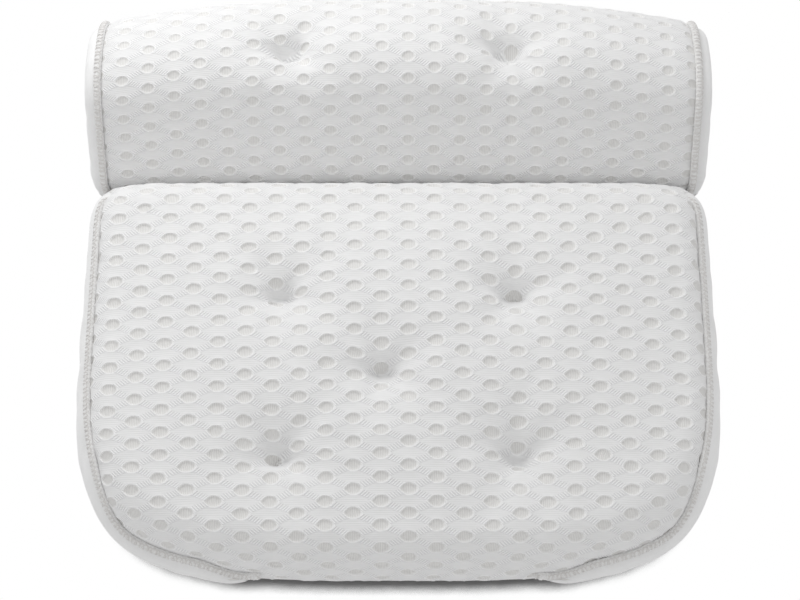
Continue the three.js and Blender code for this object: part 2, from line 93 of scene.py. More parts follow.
# Back cushion
BACK_BOTTOM_THICKNESS = 0.050
BACK_FOLD_THICKNESS = 0.062
BACK_CROWN = 0.013
FRONT_ROUND = 0.026
BACK_WIDEST_Y = BACK_TOP_Y - 0.104
UPPER_CORNER = 14
LOWER_CORNER = 3.8
GUSSET_TIP_X = HALF_WIDTH - 0.104
GUSSET_ROLL = 0.0055
GUSSET_ROLL_END = 0.006
GUSSET_ROLL_HEIGHT = 0.068
SEAM_SIDE_ANGLE = math.radians(51)
SEAM_LOWER_ANGLE = math.radians(20)
SEAM_TIP_ANGLE = math.radians(6)
SEAM_TIP_LENGTH = 0.028
SEAM_CORNER_X = HALF_WIDTH - 0.036
SEAM_CORNER_LENGTH = 0.034

# Head cushion
HEAD_HEIGHT = 0.100
HEAD_FAR_DROP = 0.012
HEAD_CREST_Y = TOP_Y - 0.064
HEAD_FOLD_HEIGHT = 0.036
HEAD_CREST_ROUND = 0.040
HEAD_FAR_ROUND = 0.038
HEAD_FOLD_ROUND = 0.006
HEAD_FAR_REAR_ROUND = 0.014
HEAD_END_ROUND = 0.008
HEAD_END_THINNING = 0.16
HEAD_END_SHORTENING = 0.12
END_TAPER_POWER = 2.5
END_CAP_X = HALF_WIDTH - 0.009

# Control meshes, about 7 mm to a cell
BACK_ACROSS = 48
BACK_ALONG = 28
FRONT_RINGS = 6
SIDE_RINGS = 4
REAR_RINGS = 2
HEAD_ACROSS = 52
HEAD_REAR_STEPS = 18
HEAD_SIDE_STEPS = 10
HEAD_END_RINGS = 2
SECTION_CORNER_STEPS = 12
SECTION_SAMPLES = 4000
SMOOTHING = 2
TINY = 1e-12

# Padding: how far the seams and ties pull in and how far the cloth may swell
SEAM_TUCK = 0.0028
REAR_SEAM_TUCK = 0.0015
REAR_TIE_TUCK = 0.002
TIE_GRIP = 0.0045
EYELET_GRIP = 0.013
TIE_SKIRT = 0.042
TIE_PIT_DEPTH = 0.010
TIE_PIT = 0.015
TIE_PLEATS = 5
TIE_PLEAT = 0.22
TIE_KNOT_DEPTH = 0.0055
TIE_KNOT_PIT = 0.0042
TIE_PIT_ROUND = 0.001
TIE_PINCH = 0.0035
TIE_GATHER = 0.35
TIE_GATHER_REACH = 0.014
TIE_FACING = 2
TIE_FOLD_DEPTH = 0.0014
TIE_FOLD_WIDTH = 0.004
TIE_FOLD_LENGTH = 0.070
CREASED_TIES = ("head_tuft_right",)
PADDING_HOLD = 0.4
SWELL_LIMIT = 0.009
SIMULATED_FRAMES = 24
PULL_FRAMES = 12
CLOTH = {
    "quality": 8,
    "mass": 0.3,
    "air_damping": 4,
    "tension_stiffness": 10,
    "compression_stiffness": 5,
    "shear_stiffness": 3,
    "bending_stiffness": 0.5,
    "pin_stiffness": 1,
    "shrink_min": -0.02,
    "use_pressure": True,
    "uniform_pressure_force": 8,
    "vertex_group_mass": "hold",
}

# Camera and light
CAMERA_ELEVATION = math.radians(66)
CAMERA_TARGET = Vector((0.001, -0.0215, 0.072))
CAMERA_DISTANCE = 1.1
CAMERA_LENS = 82.6
CAMERA_SENSOR = 36
KEY_PLACE = Vector((-0.22, 0.42, 0.54))
KEY_TARGET = Vector((0, 0, 0.05))
KEY_SIZE = 0.5
KEY_POWER = 1.7
SKY_LIGHT = 0.70
FLOOR_HALF = 4
FLOOR_TONE = (0.9,) * 3
# painted shadow: seen directly, the floor takes this dark tone and a faint glow where an occlusion test finds
# the pillow near
FLOOR_SHADOW_TONE = (0.12,) * 3
SHADOW_REACH = 0.03
SHADOW_SAMPLES = 64
SHADOW_GLOW = 0.04
SHADOW_DEEP, SHADOW_CLEAR = 0.60, 0.73

# Panels of a cushion
FRONT, REAR, LEFT_SIDE, RIGHT_SIDE = range(4)

# Air mesh: staggered columns of lemon-shaped holes, given as half sizes and depth, and where a hole falls
HOLE_COLUMNS = 0.016
HOLE_ROWS = 0.0135
HOLE_RIM = 0.0004
HOLE_LEFT_POINT = 1.6
HOLE_RIGHT_POINT = 1.1
BACK_HOLE = (0.0049, 0.0032, 0.0011)
HEAD_HOLE = (0.0039, 0.0032, 0.0007)
BACK_HOLE_AT = (0.070, -0.018)
HEAD_HOLE_AT = (0.070, 0.0)
REAR_HOLE_AT = (0.0, 0.0)
CELL_SIDE_PIECES = (2, 3, 2, 2, 3, 2)
MERGE_DIGITS = 6
MERGE_DISTANCE = 1e-6
SHORTEST_EDGE = 2e-5
CLOTH_THICKNESS = 0.0022
EDGE_FADE = 0.006
PAD_CLEARANCE = 0.0004

# Rings of a hole from its middle outwards: the share of its outline, the height as shares of the hole's
# depth and of the rim's height, how far in the hole, and how far on the rim, which takes a painted highlight
HOLE_RINGS = (
    (0.5, -1.0, 0.0, 1.0, 0.0),
    (0.84, -0.85, 0.0, 1.0, 0.0),
    (0.98, -0.2, 0.0, 0.6, 0.4),
    (1.1, 0.0, 1.0, 0.0, 1.0),
    (1.3, 0.0, 0.3, 0.0, 0.0),
)

# Colours
AIR_MESH_COLOUR = (0.85,) * 3
AIR_MESH_SHADE = (0.825,) * 3
# painted highlight on the ladder rungs
PAINTED_RUNG_HIGHLIGHT = (0.95,) * 3
# painted highlight: each hole's rim is painted lighter than the cloth
PAINTED_RIM_HIGHLIGHT = (0.97,) * 3
# painted shade in the gaps between the rungs; it also tints the knit rows darker
PAINTED_GAP_SHADE = (0.74, 0.74, 0.745)
HOLE_COLOUR = (0.90, 0.895, 0.88)
HOLE_SHADE = (0.80, 0.79, 0.775)
KNIT_COLOUR = (0.88,) * 3
KNIT_SHADE = (0.85,) * 3
PIPING_COLOUR = (0.84, 0.84, 0.835)
PIPING_SHADE = (0.74, 0.73, 0.72)
CURL_COLOUR = (0.70, 0.685, 0.67)
THREAD_COLOUR = (0.86, 0.86, 0.85)
THREAD_SHADE = (0.74, 0.74, 0.73)
EYELET_COLOUR = (0.86, 0.86, 0.85)
EYELET_SHADE = (0.82, 0.82, 0.81)
CUP_COLOUR = (0.93, 0.95, 0.96)
CUP_SHADE = (0.86, 0.89, 0.9)
FILLING_COLOUR = (0.85, 0.84, 0.82)
FILLING_SHADE = (0.78, 0.77, 0.75)
WHITE = (1, 1, 1, 1)

# Sockets of a mix node that hold colours
MIX_COLOUR_INPUTS = (6, 7)
MIX_COLOUR_OUTPUT = 2

# Yarns of the air mesh, counted for each column or row of holes
LADDER_WIDTH = 0.2
RUNGS_ACROSS = 7.5
RUNGS_ALONG = 7
KNIT_ROWS = 11
KNIT_ROW_HEIGHT = 0.25
KNIT_ROW_TINT = 0.18
HOLE_RIBS = 16

# Piping, thread and fold cord
PIPING_RADIUS = 0.0022
PIPING_OUT = 0.0020
PIPING_STEP = 0.0009
PIPING_SIDES = 12
PIPING_GATHER = 0.0027
PIPING_GATHER_SHARE = 0.11
PIPING_END_LENGTH = 0.006
PIPING_END_DEPTH = 0.003
PIPING_END_ROUND = 0.0035
PIPING_END_CLOSED = 0.01
PIPING_TIP_SWELL = 0.4
CURL_PITCH = 0.0026
CURL_OVERLAP = 0.0005
CURL_EXTRA = 0.0009
CURLS_PER_CLUSTER = 4.3
CURL_SPREAD = 1.0
CURL_RADIUS = 0.00035
CURL_STEPS = 14
STITCH_SIDES = 6
THREAD_RADIUS = 0.0008
THREAD_SIDES = 8
THREAD_RUN_STEPS = 12
FRONT_LOOPS = 3
FRONT_LOOP_RADIUS = 0.0014
FRONT_LOOP_STEPS = 60
REAR_COIL_RADIUS = 0.0028
REAR_COIL_TURNS = 2.5
REAR_COIL_SHRINK = 0.6
REAR_COIL_STEPS = 50
KNOT_HEIGHT = 0.0023
FOLD_STITCH_PITCH = 0.006
FOLD_STITCH_RADIUS = 0.0004
FOLD_STITCH_STEPS = 24
FOLD_STRANDS = 3
FOLD_TWIST = 0.004
FOLD_TWIST_DEPTH = 0.05
SIDEWAYS = (0.31, 0.43, 0.85)

# Eyelets and suction cups, with rounded edges
EYELET_LOW, EYELET_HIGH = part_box("head_left_eyelet")
EYELET_RADIUS = (EYELET_HIGH.x - EYELET_LOW.x) / 2
EYELET_WEB_RADIUS = 0.0073
EYELET_BORE = 0.0055
EYELET_FLANGE_THICKNESS = 0.0012
EYELET_EDGE_ROUND = 0.0005
CUP_LOW, CUP_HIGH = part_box("head_left_suction_cup")
CUP_RADIUS = (CUP_HIGH.x - CUP_LOW.x) / 2
CUP_LIP = 0.0025
CUP_EDGE = 0.0014
CUP_EDGE_ROUND = 0.0006
CUP_HOLLOW = 0.004
CUP_HEIGHT = 0.011
CUP_DISH = 1.4
CUP_SHOULDER_RADIUS = 0.008
CUP_SHOULDER_ROUND = 0.001
NECK_RADIUS = 0.005
NECK_ROUND = 0.0012
CUP_HEAD_RADIUS = 0.0075
CUP_HEAD_HEIGHT = 0.003
CUP_HEAD_ROUND = 0.0008
CUP_STEPS = 16
PROFILE_CORNER_STEPS = 6
LATHE_SIDES = 64


def lerp(a, b, part):
    return a + (b - a) * part


def smooth(part):
    part = np.clip(part, 0, 1)
    return part * part * (3 - 2 * part)


def rows_of(*columns):
    """Rows from their columns. A column may be one number for all rows."""
    return np.stack(np.broadcast_arrays(*columns), -1)


def unit(vectors):
    return vectors / np.linalg.norm(vectors, axis=-1, keepdims=True)


def run_along(path):
    """How far along a path each of its points is."""
    steps = np.linalg.norm(np.diff(path, axis=0), axis=-1)
    return np.concatenate([0 * steps[:1], np.cumsum(steps, 0)])


def at_places(places, run, values):
    """Rows of values that go with a run, read at places along it."""
    return rows_of(*(np.interp(places, run, column) for column in values.T))


def turns(sides):
    return np.arange(sides) * math.tau / sides


def around(radius, turn, height):
    """Points round an upright axis."""
    return rows_of(radius * np.cos(turn), radius * np.sin(turn), height)


def away_from(points, place):
    return np.hypot(points[:, 0] - place.x, points[:, 1] - place.y)


def fitting(node, knot=0):
    """A fitting's place on the plan and its heights, inside its knots where it has them."""
    low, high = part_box(node)
    middle = (low + high) / 2
    return SimpleNamespace(node=node, x=middle.x, y=middle.y, low=low.z + knot, high=high.z - knot)


def nodes_named(start, ending):
    return sorted(n for n in frame["nodes"] if n.startswith(start) and n.endswith(ending))


BACK_TIES = [fitting(n, KNOT_HEIGHT) for n in nodes_named("back_tuft", "")]
HEAD_TIES = [fitting(n, KNOT_HEIGHT) for n in nodes_named("head_tuft", "")]
BACK_CUPS = [fitting(n) for n in nodes_named("back", "suction_cup")]
HEAD_CUPS = [fitting(n) for n in nodes_named("head", "suction_cup")]


# Back cushion: a front grid, rings round the rim and a rear grid

def back_thickness(across, along):
    wedge = lerp(BACK_BOTTOM_THICKNESS, BACK_FOLD_THICKNESS, (along + 1) / 2)
    return wedge + BACK_CROWN * (1 - across**2) * (1 - along**2)


def back_plan(p, q, inset):
    """Where a point of the square from -1 to 1 falls on the plan, drawn in from the rim by the inset."""
    power = np.where(q > 0, UPPER_CORNER, LOWER_CORNER)
    rim = np.maximum(np.abs(p), np.abs(q))
    length = (np.abs(p) ** power + np.abs(q) ** power) ** (1 / power)
    rounding = np.where(rim > 0, rim / np.maximum(length, TINY), 1)
    across, along = p * rounding, q * rounding
    reach = np.where(q > 0, BACK_TOP_Y - BACK_WIDEST_Y, BACK_WIDEST_Y - BOTTOM_Y)
    return across, along, across * (HALF_WIDTH - inset), BACK_WIDEST_Y + along * (reach - inset)


def seam_angle(x, at_fold):
    """How far up the rounded rim the seam lies: high at the sides, low round the corners and at the tips."""
    from_tip = smooth(np.abs(np.abs(x) - GUSSET_TIP_X) / SEAM_TIP_LENGTH)
    past_corner = smooth((np.abs(x) - SEAM_CORNER_X) / SEAM_CORNER_LENGTH)
    angle = lerp(lerp(SEAM_TIP_ANGLE, SEAM_LOWER_ANGLE, from_tip), SEAM_SIDE_ANGLE, past_corner)
    return np.where(at_fold, SEAM_SIDE_ANGLE, angle)


def rim_of(across, along):
    """Grid rows and columns once round the rim, from the lower left to the right and up."""
    low, side = np.arange(across), np.arange(along)
    rows = np.concatenate([0 * low, side, 0 * low + along, along - side])
    columns = np.concatenate([low, 0 * side + across, across - low, 0 * side])
    return rows, columns


def grid_quads(index):
    """Quads of a grid of vertex numbers, anticlockwise when its columns run right and its rows up."""
    return rows_of(index[:-1, :-1], index[:-1, 1:], index[1:, 1:], index[1:, :-1]).reshape(-1, 4)


def back_form():
    low_span = BACK_WIDEST_Y - BOTTOM_Y - FRONT_ROUND
    high_span = BACK_TOP_Y - BACK_WIDEST_Y - FRONT_ROUND
    levels = np.linspace(-low_span, high_span, BACK_ALONG + 1)
    levels = np.where(levels < 0, levels / low_span, levels / high_span)
    p, q = np.meshgrid(np.linspace(-1, 1, BACK_ACROSS + 1), levels)
    across, along, x, y = back_plan(p, q, FRONT_ROUND)
    front = rows_of(x, y, REAR_Z + back_thickness(across, along))
    rear = rows_of(*back_plan(p, q, REAR_ROUND)[2:], REAR_Z)

    rim = rim_of(BACK_ACROSS, BACK_ALONG)
    rim_p, rim_q = p[rim], q[rim]
    across, along, x, y = back_plan(rim_p, rim_q, 0)
    top = REAR_Z + back_thickness(across, along)
    at_fold = (rim[0] == BACK_ALONG) & (np.abs(rim_p) < 1)
    seam = seam_angle(x, at_fold)
    rear_seam = np.full_like(seam, math.asin((REAR_SEAM_Z - WIDEST_Z) / REAR_ROUND))
    angles = np.concatenate([
        np.linspace(math.pi / 2, seam, FRONT_RINGS + 1),
        np.linspace(seam, rear_seam, SIDE_RINGS + 1)[1:],
        np.linspace(rear_seam, -math.pi / 2, REAR_RINGS + 1)[1:],
    ])
    from_tip = smooth((np.abs(x) - GUSSET_TIP_X) / GUSSET_ROLL_END + 1)
    roll = GUSSET_ROLL * from_tip * (1 - smooth((y - BOTTOM_Y) / GUSSET_ROLL_HEIGHT))
    rings = []
    for r, angle in enumerate(angles):
        below_seam = np.clip((r - FRONT_RINGS) / SIDE_RINGS, 0, 1)
        inset = np.where(angle < 0, REAR_ROUND, FRONT_ROUND) * (1 - np.cos(angle))
        inset = inset - roll * math.sin(math.pi * below_seam)
        rise = np.where(angle < 0, REAR_ROUND, top - WIDEST_Z)
        rings.append(rows_of(*back_plan(rim_p, rim_q, inset)[2:], WIDEST_Z + rise * np.sin(angle)))
    rings = np.array(rings)

    count = len(rim_p)
    last = len(rings) - 1
    front_index = np.arange(p.size).reshape(p.shape)
    rear_index = front_index + p.size + (last - 1) * count
    ring_index = p.size + np.arange(-count, last * count).reshape(last + 1, count)
    ring_index[0] = front_index[rim]
    ring_index[last] = rear_index[rim]
    points = np.concatenate([front.reshape(-1, 3), rings[1:last].reshape(-1, 3), rear.reshape(-1, 3)])

    outward = unit(rows_of(x, y) - rings[0][:, :2])
    run = run_along(rings)[:, :, None]
    front_cloth = points[:, :2].copy()
    rear_cloth = points[:, :2].copy()
    front_cloth[ring_index] = rings[0][:, :2] + outward * run
    rear_cloth[ring_index] = rings[last][:, :2] + outward * (run[last] - run)
    rear_cloth[:, 0] *= -1

    middle_x = (rings[FRONT_RINGS] + np.roll(rings[FRONT_RINGS], -1, 0))[:, 0] / 2
    gusset = ~at_fold & ~np.roll(at_fold, -1) & (np.abs(middle_x) > GUSSET_TIP_X)
    side = np.where(middle_x < 0, LEFT_SIDE, RIGHT_SIDE)
    quads = [grid_quads(front_index), grid_quads(rear_index)[:, ::-1]]
    panels = [np.full(len(quads[0]), FRONT), np.full(len(quads[1]), REAR)]
    for r in range(last):
        here, below = ring_index[r], ring_index[r + 1]
        quads.append(rows_of(here, below, np.roll(below, -1), np.roll(here, -1)))
        panels.append(np.full(count, FRONT if r < FRONT_RINGS else REAR))
        if FRONT_RINGS <= r < FRONT_RINGS + SIDE_RINGS:
            panels[-1] = np.where(gusset, side, FRONT)

    seams = []
    for wanted, past_start, past_end in ((LEFT_SIDE, 0, 1), (RIGHT_SIDE, 1, 0)):
        ends = gusset & (side == wanted)
        start = next(k for k in range(count) if ends[k] and not ends[k - 1])
        picked = [(start + n) % count for n in range(-past_start, ends.sum() + 1 + past_end)]
        seams.append(ring_index[FRONT_RINGS][picked])
    return SimpleNamespace(
        points=points,
        quads=np.concatenate(quads),
        panels=np.concatenate(panels),
        front_cloth=front_cloth,
        rear_cloth=rear_cloth,
        seams=seams,
        sewn_ends=[(1, 0), (0, 1)],
        rear_seam=ring_index[FRONT_RINGS + SIDE_RINGS],
        front_field=front_index.ravel(),
        rear_field=rear_index.ravel(),
    )


# Head cushion: a rounded section drawn along the width, with swelling ends

def rounded_section(corners):
    """A closed outline through corners (y, z, radius), with each corner turned as an arc."""
    places = np.array([corner[:2] for corner in corners])
    outline = []
    for n, (_, _, radius) in enumerate(corners):
        back = unit(places[n - 1] - places[n])
        onward = unit(places[(n + 1) % len(corners)] - places[n])
        half = math.acos(np.dot(back, onward)) / 2
        centre = places[n] + unit(back + onward) * radius / math.sin(half)
        start = math.atan2(back[1], back[0]) + math.pi / 2
        angles = start + (math.pi - 2 * half) * np.linspace(0, 1, SECTION_CORNER_STEPS + 1)
        outline.append(centre + radius * rows_of(np.cos(angles), np.sin(angles)))
    return np.concatenate(outline)


def head_loop():
    """The section's points from the rear seam at the fold, rear side first, their run and the whole run."""
    crest_z = REAR_Z + HEAD_HEIGHT
    outline = rounded_section([
        (HEAD_FOLD_Y, REAR_Z, REAR_ROUND),
        (TOP_Y, REAR_Z, HEAD_FAR_REAR_ROUND),
        (TOP_Y, crest_z - HEAD_FAR_DROP, HEAD_FAR_ROUND),
        (HEAD_CREST_Y, crest_z, HEAD_CREST_ROUND),
        (HEAD_FOLD_Y, REAR_Z + HEAD_FOLD_HEIGHT, HEAD_FOLD_ROUND),
    ])
    outline = np.concatenate([outline, outline[:1]])
    length = run_along(outline)
    dense = np.linspace(0, length[-1], SECTION_SAMPLES)
    section = at_places(dense, length, outline)
    low = dense[section[:, 1] < REAR_SEAM_Z]
    fold, far = low.min(), low.max()
    rear = np.linspace(fold, far, HEAD_REAR_STEPS + 1)
    front = np.linspace(far, fold + length[-1], HEAD_REAR_STEPS + 2 * HEAD_SIDE_STEPS + 1)
    run = np.concatenate([rear, front[1:-1]])
    return at_places(run % length[-1], dense, section), run, length[-1]


def head_taper(x, section):
    towards_end = (abs(x) / HALF_WIDTH) ** END_TAPER_POWER
    return rows_of(
        x,
        FOLD_Y + (section[:, 0] - FOLD_Y) * (1 - HEAD_END_SHORTENING * towards_end),
        REAR_Z + (section[:, 1] - REAR_Z) * (1 - HEAD_END_THINNING * towards_end),
    )


def drawn_in(section, inset):
    """The section moved inwards along its normals."""
    along = np.roll(section, -1, 0) - np.roll(section, 1, 0)
    return section + inset * unit(rows_of(-along[:, 1], along[:, 0]))


def four_sides(loop):
    """A closed loop round an end of the head cushion as four sides: rear, far, front and fold."""
    across, along = HEAD_REAR_STEPS, HEAD_SIDE_STEPS
    rear = loop[: across + 1]
    far = loop[across : across + along + 1]
    front = loop[across + along : 2 * across + along + 1][::-1]
    fold = np.concatenate([loop[2 * across + along :], loop[:1]])[::-1]
    return rear, far, front, fold


def filled(loop):
    """A grid inside a closed loop of points, blended from its four sides."""
    rear, far, front, fold = four_sides(loop)
    u = np.linspace(0, 1, len(rear))[None, :, None]
    v = np.linspace(0, 1, len(far))[:, None, None]
    edges = lerp(rear[None], front[None], v) + lerp(fold[:, None], far[:, None], u)
    corners = lerp(lerp(rear[0], rear[-1], u), lerp(front[0], front[-1], u), v)
    return edges - corners


def head_form():
    section, run, whole_run = head_loop()
    count = len(section)
    stations = [(x, 0.0) for x in np.linspace(-END_CAP_X, END_CAP_X, HEAD_ACROSS + 1)]
    for n in range(HEAD_END_RINGS):
        angle = math.pi / 2 * (n + 1) / HEAD_END_RINGS
        x = HALF_WIDTH - HEAD_END_ROUND + HEAD_END_ROUND * math.sin(angle)
        inset = HEAD_END_ROUND * (1 - math.cos(angle))
        stations = [(-x, inset), *stations, (x, inset)]
    rings = np.array([head_taper(x, drawn_in(section, inset)) for x, inset in stations])
    last = len(rings) - 1
    ring_index = np.arange(len(rings) * count).reshape(len(rings), count)
    points = [rings.reshape(-1, 3)]
    quads, panels = [], []
    in_rear = np.arange(count) < HEAD_REAR_STEPS
    for n in range(last):
        here, there = ring_index[n], ring_index[n + 1]
        quads.append(rows_of(here, np.roll(here, -1), np.roll(there, -1), there))
        middle = (stations[n][0] + stations[n + 1][0]) / 2
        end = LEFT_SIDE if middle < -END_CAP_X else RIGHT_SIDE if middle > END_CAP_X else FRONT
        panels.append(np.where(in_rear, REAR, end))
    total = ring_index.size
    for ring, panel in ((0, LEFT_SIDE), (last, RIGHT_SIDE)):
        grid = filled(rings[ring])
        index = np.full(grid.shape[:2], -1)
        index[0], index[:, -1], index[-1], index[:, 0] = four_sides(ring_index[ring])
        inner = index < 0
        index[inner] = total + np.arange(inner.sum())
        total += inner.sum()
        points.append(grid[inner])
        cap = grid_quads(index)
        quads.append(cap if panel == RIGHT_SIDE else cap[:, ::-1])
        panels.append(np.full(len(cap), panel))
    points = np.concatenate(points)

    front_run = np.where(np.arange(count) < HEAD_REAR_STEPS / 2, run + whole_run, run)
    front_cloth = points[:, :2].copy()
    rear_cloth = points[:, :2].copy()
    for n, (x, inset) in enumerate(stations):
        across = math.copysign(abs(x) + inset, x)
        front_cloth[ring_index[n]] = rows_of(across, front_run[0] - front_run)
        rear_cloth[ring_index[n]] = rows_of(-across, run)
    rear_seam = [
        ring_index[:, 0],
        ring_index[:, HEAD_REAR_STEPS],
        ring_index[0, : HEAD_REAR_STEPS + 1],
        ring_index[last, : HEAD_REAR_STEPS + 1],
    ]
    over = [*range(HEAD_REAR_STEPS, count), 0]
    between_ends = ring_index[HEAD_END_RINGS : last - HEAD_END_RINGS + 1]
    return SimpleNamespace(
        points=points,
        quads=np.concatenate(quads),
        panels=np.concatenate(panels),
        front_cloth=front_cloth,
        rear_cloth=rear_cloth,
        seams=[between_ends[0][over], between_ends[-1][over]],
        sewn_ends=[(1, 1), (1, 1)],
        rear_seam=np.unique(np.concatenate(rear_seam)),
        front_field=between_ends[:, HEAD_REAR_STEPS + 1 :].ravel(),
        rear_field=between_ends[:, 1:HEAD_REAR_STEPS].ravel(),
    )


# Meshes

def new_object(name, points, faces):
    mesh = bpy.data.meshes.new(name)
    mesh.from_pydata(np.asarray(points).tolist(), [], [list(map(int, face)) for face in faces])
    mesh.update()
    piece = bpy.data.objects.new(name, mesh)
    bpy.context.scene.collection.objects.link(piece)
    return piece


def discard(piece):
    mesh = piece.data
    bpy.data.objects.remove(piece)
    bpy.data.meshes.remove(mesh)


def vectors(parts, label, width=3):
    """A row of numbers for each of a mesh's parts."""
    values = np.empty(len(parts) * width, np.float32)
    parts.foreach_get(label, values)
    return values.reshape(-1, width).astype(float)


def whole_numbers(parts, label):
    values = np.empty(len(parts), np.int32)
    parts.foreach_get(label, values)
    return values


def coordinates(mesh):
    return vectors(mesh.vertices, "co")


def normals(mesh):
    return vectors(mesh.vertex_normals, "vector")


def mark(mesh, label, kind, domain, values):
    """Gives each point, edge or face of a mesh a value under a label."""
    values = np.asarray(values, np.int32 if kind == "INT" else np.float32)
    field = "vector" if values.ndim > 1 else "value"
    mesh.attributes.new(label, kind, domain).data.foreach_set(field, values.ravel())


def cleaned(piece, shortest, merge=False):
    """Takes out sizeless faces and loose points. Merging joins equal points and turns faces outwards."""
    shape = bmesh.new()
    shape.from_mesh(piece.data)
    if merge:
        bmesh.ops.remove_doubles(shape, verts=shape.verts, dist=shortest)
    bmesh.ops.dissolve_degenerate(shape, dist=shortest, edges=shape.edges)
    loose = [vertex for vertex in shape.verts if not vertex.link_faces]
    bmesh.ops.delete(shape, geom=loose, context="VERTS")
    if merge:
        bmesh.ops.recalc_face_normals(shape, faces=shape.faces)
    shape.to_mesh(piece.data)
    shape.free()
    return piece


# Padding: the seams and ties pull in while pressure swells the panels between them

def nearest(points, field, place, reach):
    """The field's vertices within reach of a place, or else the nearest one."""
    away = away_from(points[field], place)
    return field[away < max(reach, away.min() + TINY)]


def pull_in(form, outward, ties, cups):
    """Where the padding and the seams draw the cloth to, and how firmly each vertex is held there."""
    target = form.points.copy()
    hold = np.full(len(target), PADDING_HOLD)
    for seam in form.seams:
        target[seam] -= SEAM_TUCK * outward[seam]
        hold[seam] = 1
    loose = form.rear_seam[hold[form.rear_seam] < 1]
    target[loose] -= REAR_SEAM_TUCK * outward[loose]
    hold[loose] = 1
    field = form.front_field
    for tie in ties:
        grip = nearest(form.points, field, tie, TIE_GRIP)
        bottom = tie.high + TIE_PIT_DEPTH + TIE_KNOT_DEPTH
        skirt = (1 - np.minimum(away_from(form.points[field], tie) / TIE_SKIRT, 1)) ** 2
        target[field, 2] -= (form.points[grip, 2].mean() - bottom) * skirt
        target[grip, 2] = bottom
        hold[grip] = 1
        grip = nearest(form.points, form.rear_field, tie, TIE_GRIP)
        target[grip, 2] += REAR_TIE_TUCK
        hold[grip] = 1
    for cup in cups:
        hold[nearest(form.points, form.rear_field, cup, EYELET_GRIP)] = 1
    return target, hold


def simulate(name, form, target, hold):
    scene = bpy.context.scene
    cloth = new_object(name, form.points, form.quads)
    cloth.shape_key_add(name="Basis")
    key = cloth.shape_key_add(name="pulled")
    key.data.foreach_set("co", target.astype(np.float32).ravel())
    for at, value in ((1, 0.0), (PULL_FRAMES, 1.0)):
        key.value = value
        key.keyframe_insert("value", frame=at)
    group = cloth.vertex_groups.new(name="hold")
    for firmness in np.unique(hold):
        group.add(np.flatnonzero(hold == firmness).tolist(), float(firmness), "REPLACE")
    modifier = cloth.modifiers.new("cloth", "CLOTH")
    for label, value in CLOTH.items():
        setattr(modifier.settings, label, value)
    modifier.settings.effector_weights.gravity = 0
    modifier.collision_settings.use_collision = False
    modifier.point_cache.frame_start = 1
    modifier.point_cache.frame_end = SIMULATED_FRAMES
    for at in range(1, SIMULATED_FRAMES + 1):
        scene.frame_set(at)
    swollen = cloth.evaluated_get(bpy.context.evaluated_depsgraph_get())
    points = coordinates(swollen.data)
    discard(cloth)
    scene.frame_set(1)
    return points


def padded_points(name, form, ties, cups):
    rest = new_object(name, form.points, form.quads)
    outward = normals(rest.data)
    discard(rest)
    target, hold = pull_in(form, outward, ties, cups)
    points = simulate(name, form, target, hold)
    swell = np.einsum("ij,ij->i", points - form.points, outward)
    points = points - np.maximum(swell - SWELL_LIMIT, 0)[:, None] * outward
    return points, outward


def pinched(points, facing, ties):
    """The cloth drawn together and down into a short crease at each tie, and into the fold some ties draw."""
    points = points.copy()
    depth = np.zeros(len(points))
    upward = np.clip(facing[:, 2] * TIE_FACING, 0, 1)
    for tie in ties:
        across, along = points[:, 0] - tie.x, points[:, 1] - tie.y
        gather = TIE_GATHER * upward * np.exp(-((np.hypot(across, along) / TIE_GATHER_REACH) ** 2))
        points[:, 0] -= across * gather
        points[:, 1] -= along * gather
        beyond = np.maximum(np.abs(across) - TIE_PINCH, 0)
        away = np.sqrt(beyond**2 + along**2 + TIE_PIT_ROUND**2) - TIE_PIT_ROUND
        pleats = 1 + TIE_PLEAT * np.cos(TIE_PLEATS * (np.arctan2(along, across) + tie.x / TIE_PIT))
        depth += TIE_PIT_DEPTH * np.exp(-away / (TIE_PIT * pleats))
        depth += TIE_KNOT_DEPTH * np.exp(-away / TIE_KNOT_PIT)
        if tie.node in CREASED_TIES:
            below = np.clip(-along / TIE_FOLD_LENGTH, 0, 1)
            fold = np.exp(-((across / TIE_FOLD_WIDTH) ** 2)) * np.sqrt(np.sin(math.pi * below))
            depth += TIE_FOLD_DEPTH * fold
    return points - facing * (depth * upward)[:, None]


def smooth_surface(name, form, points, ties):
    """The padded form as a smooth fine mesh that knows its panels and its cloth's flat coordinates."""
    piece = new_object(name, points, form.quads)
    cloths = {"front_cloth": form.front_cloth, "rear_cloth": form.rear_cloth}
    for label, values in cloths.items():
        mark(piece.data, label, "FLOAT2", "POINT", values)
    mark(piece.data, "panel", "INT", "FACE", form.panels)
    sewn = {frozenset(pair) for seam in form.seams for pair in zip(seam[:-1].tolist(), seam[1:].tolist())}
    creases = [frozenset(edge.vertices) in sewn for edge in piece.data.edges]
    mark(piece.data, "crease_edge", "FLOAT", "EDGE", creases)
    piece.modifiers.new("smooth", "SUBSURF").levels = SMOOTHING
    evaluated = piece.evaluated_get(bpy.context.evaluated_depsgraph_get())
    fine = bpy.data.meshes.new_from_object(evaluated)
    discard(piece)
    for label in cloths:
        cloths[label] = vectors(fine.attributes[label].data, "vector", 2)
    quads = whole_numbers(fine.loops, "vertex_index").reshape(-1, 4)
    panels = whole_numbers(fine.attributes["panel"].data, "value")
    points = pinched(coordinates(fine), normals(fine), ties)
    fine.vertices.foreach_set("co", points.astype(np.float32).ravel())
    fine.update()
    surface = SimpleNamespace(points=points, normals=normals(fine), quads=quads, panels=panels, **cloths)
    bpy.data.meshes.remove(fine)
    return surface


# Panels from the smooth surface

def panel_piece(name, surface, panel):
    """A plain panel, as its part of the smooth surface."""
    quads = surface.quads[surface.panels == panel]
    used, renumbered = np.unique(quads, return_inverse=True)
    return new_object(name, surface.points[used], renumbered.reshape(-1, 4))


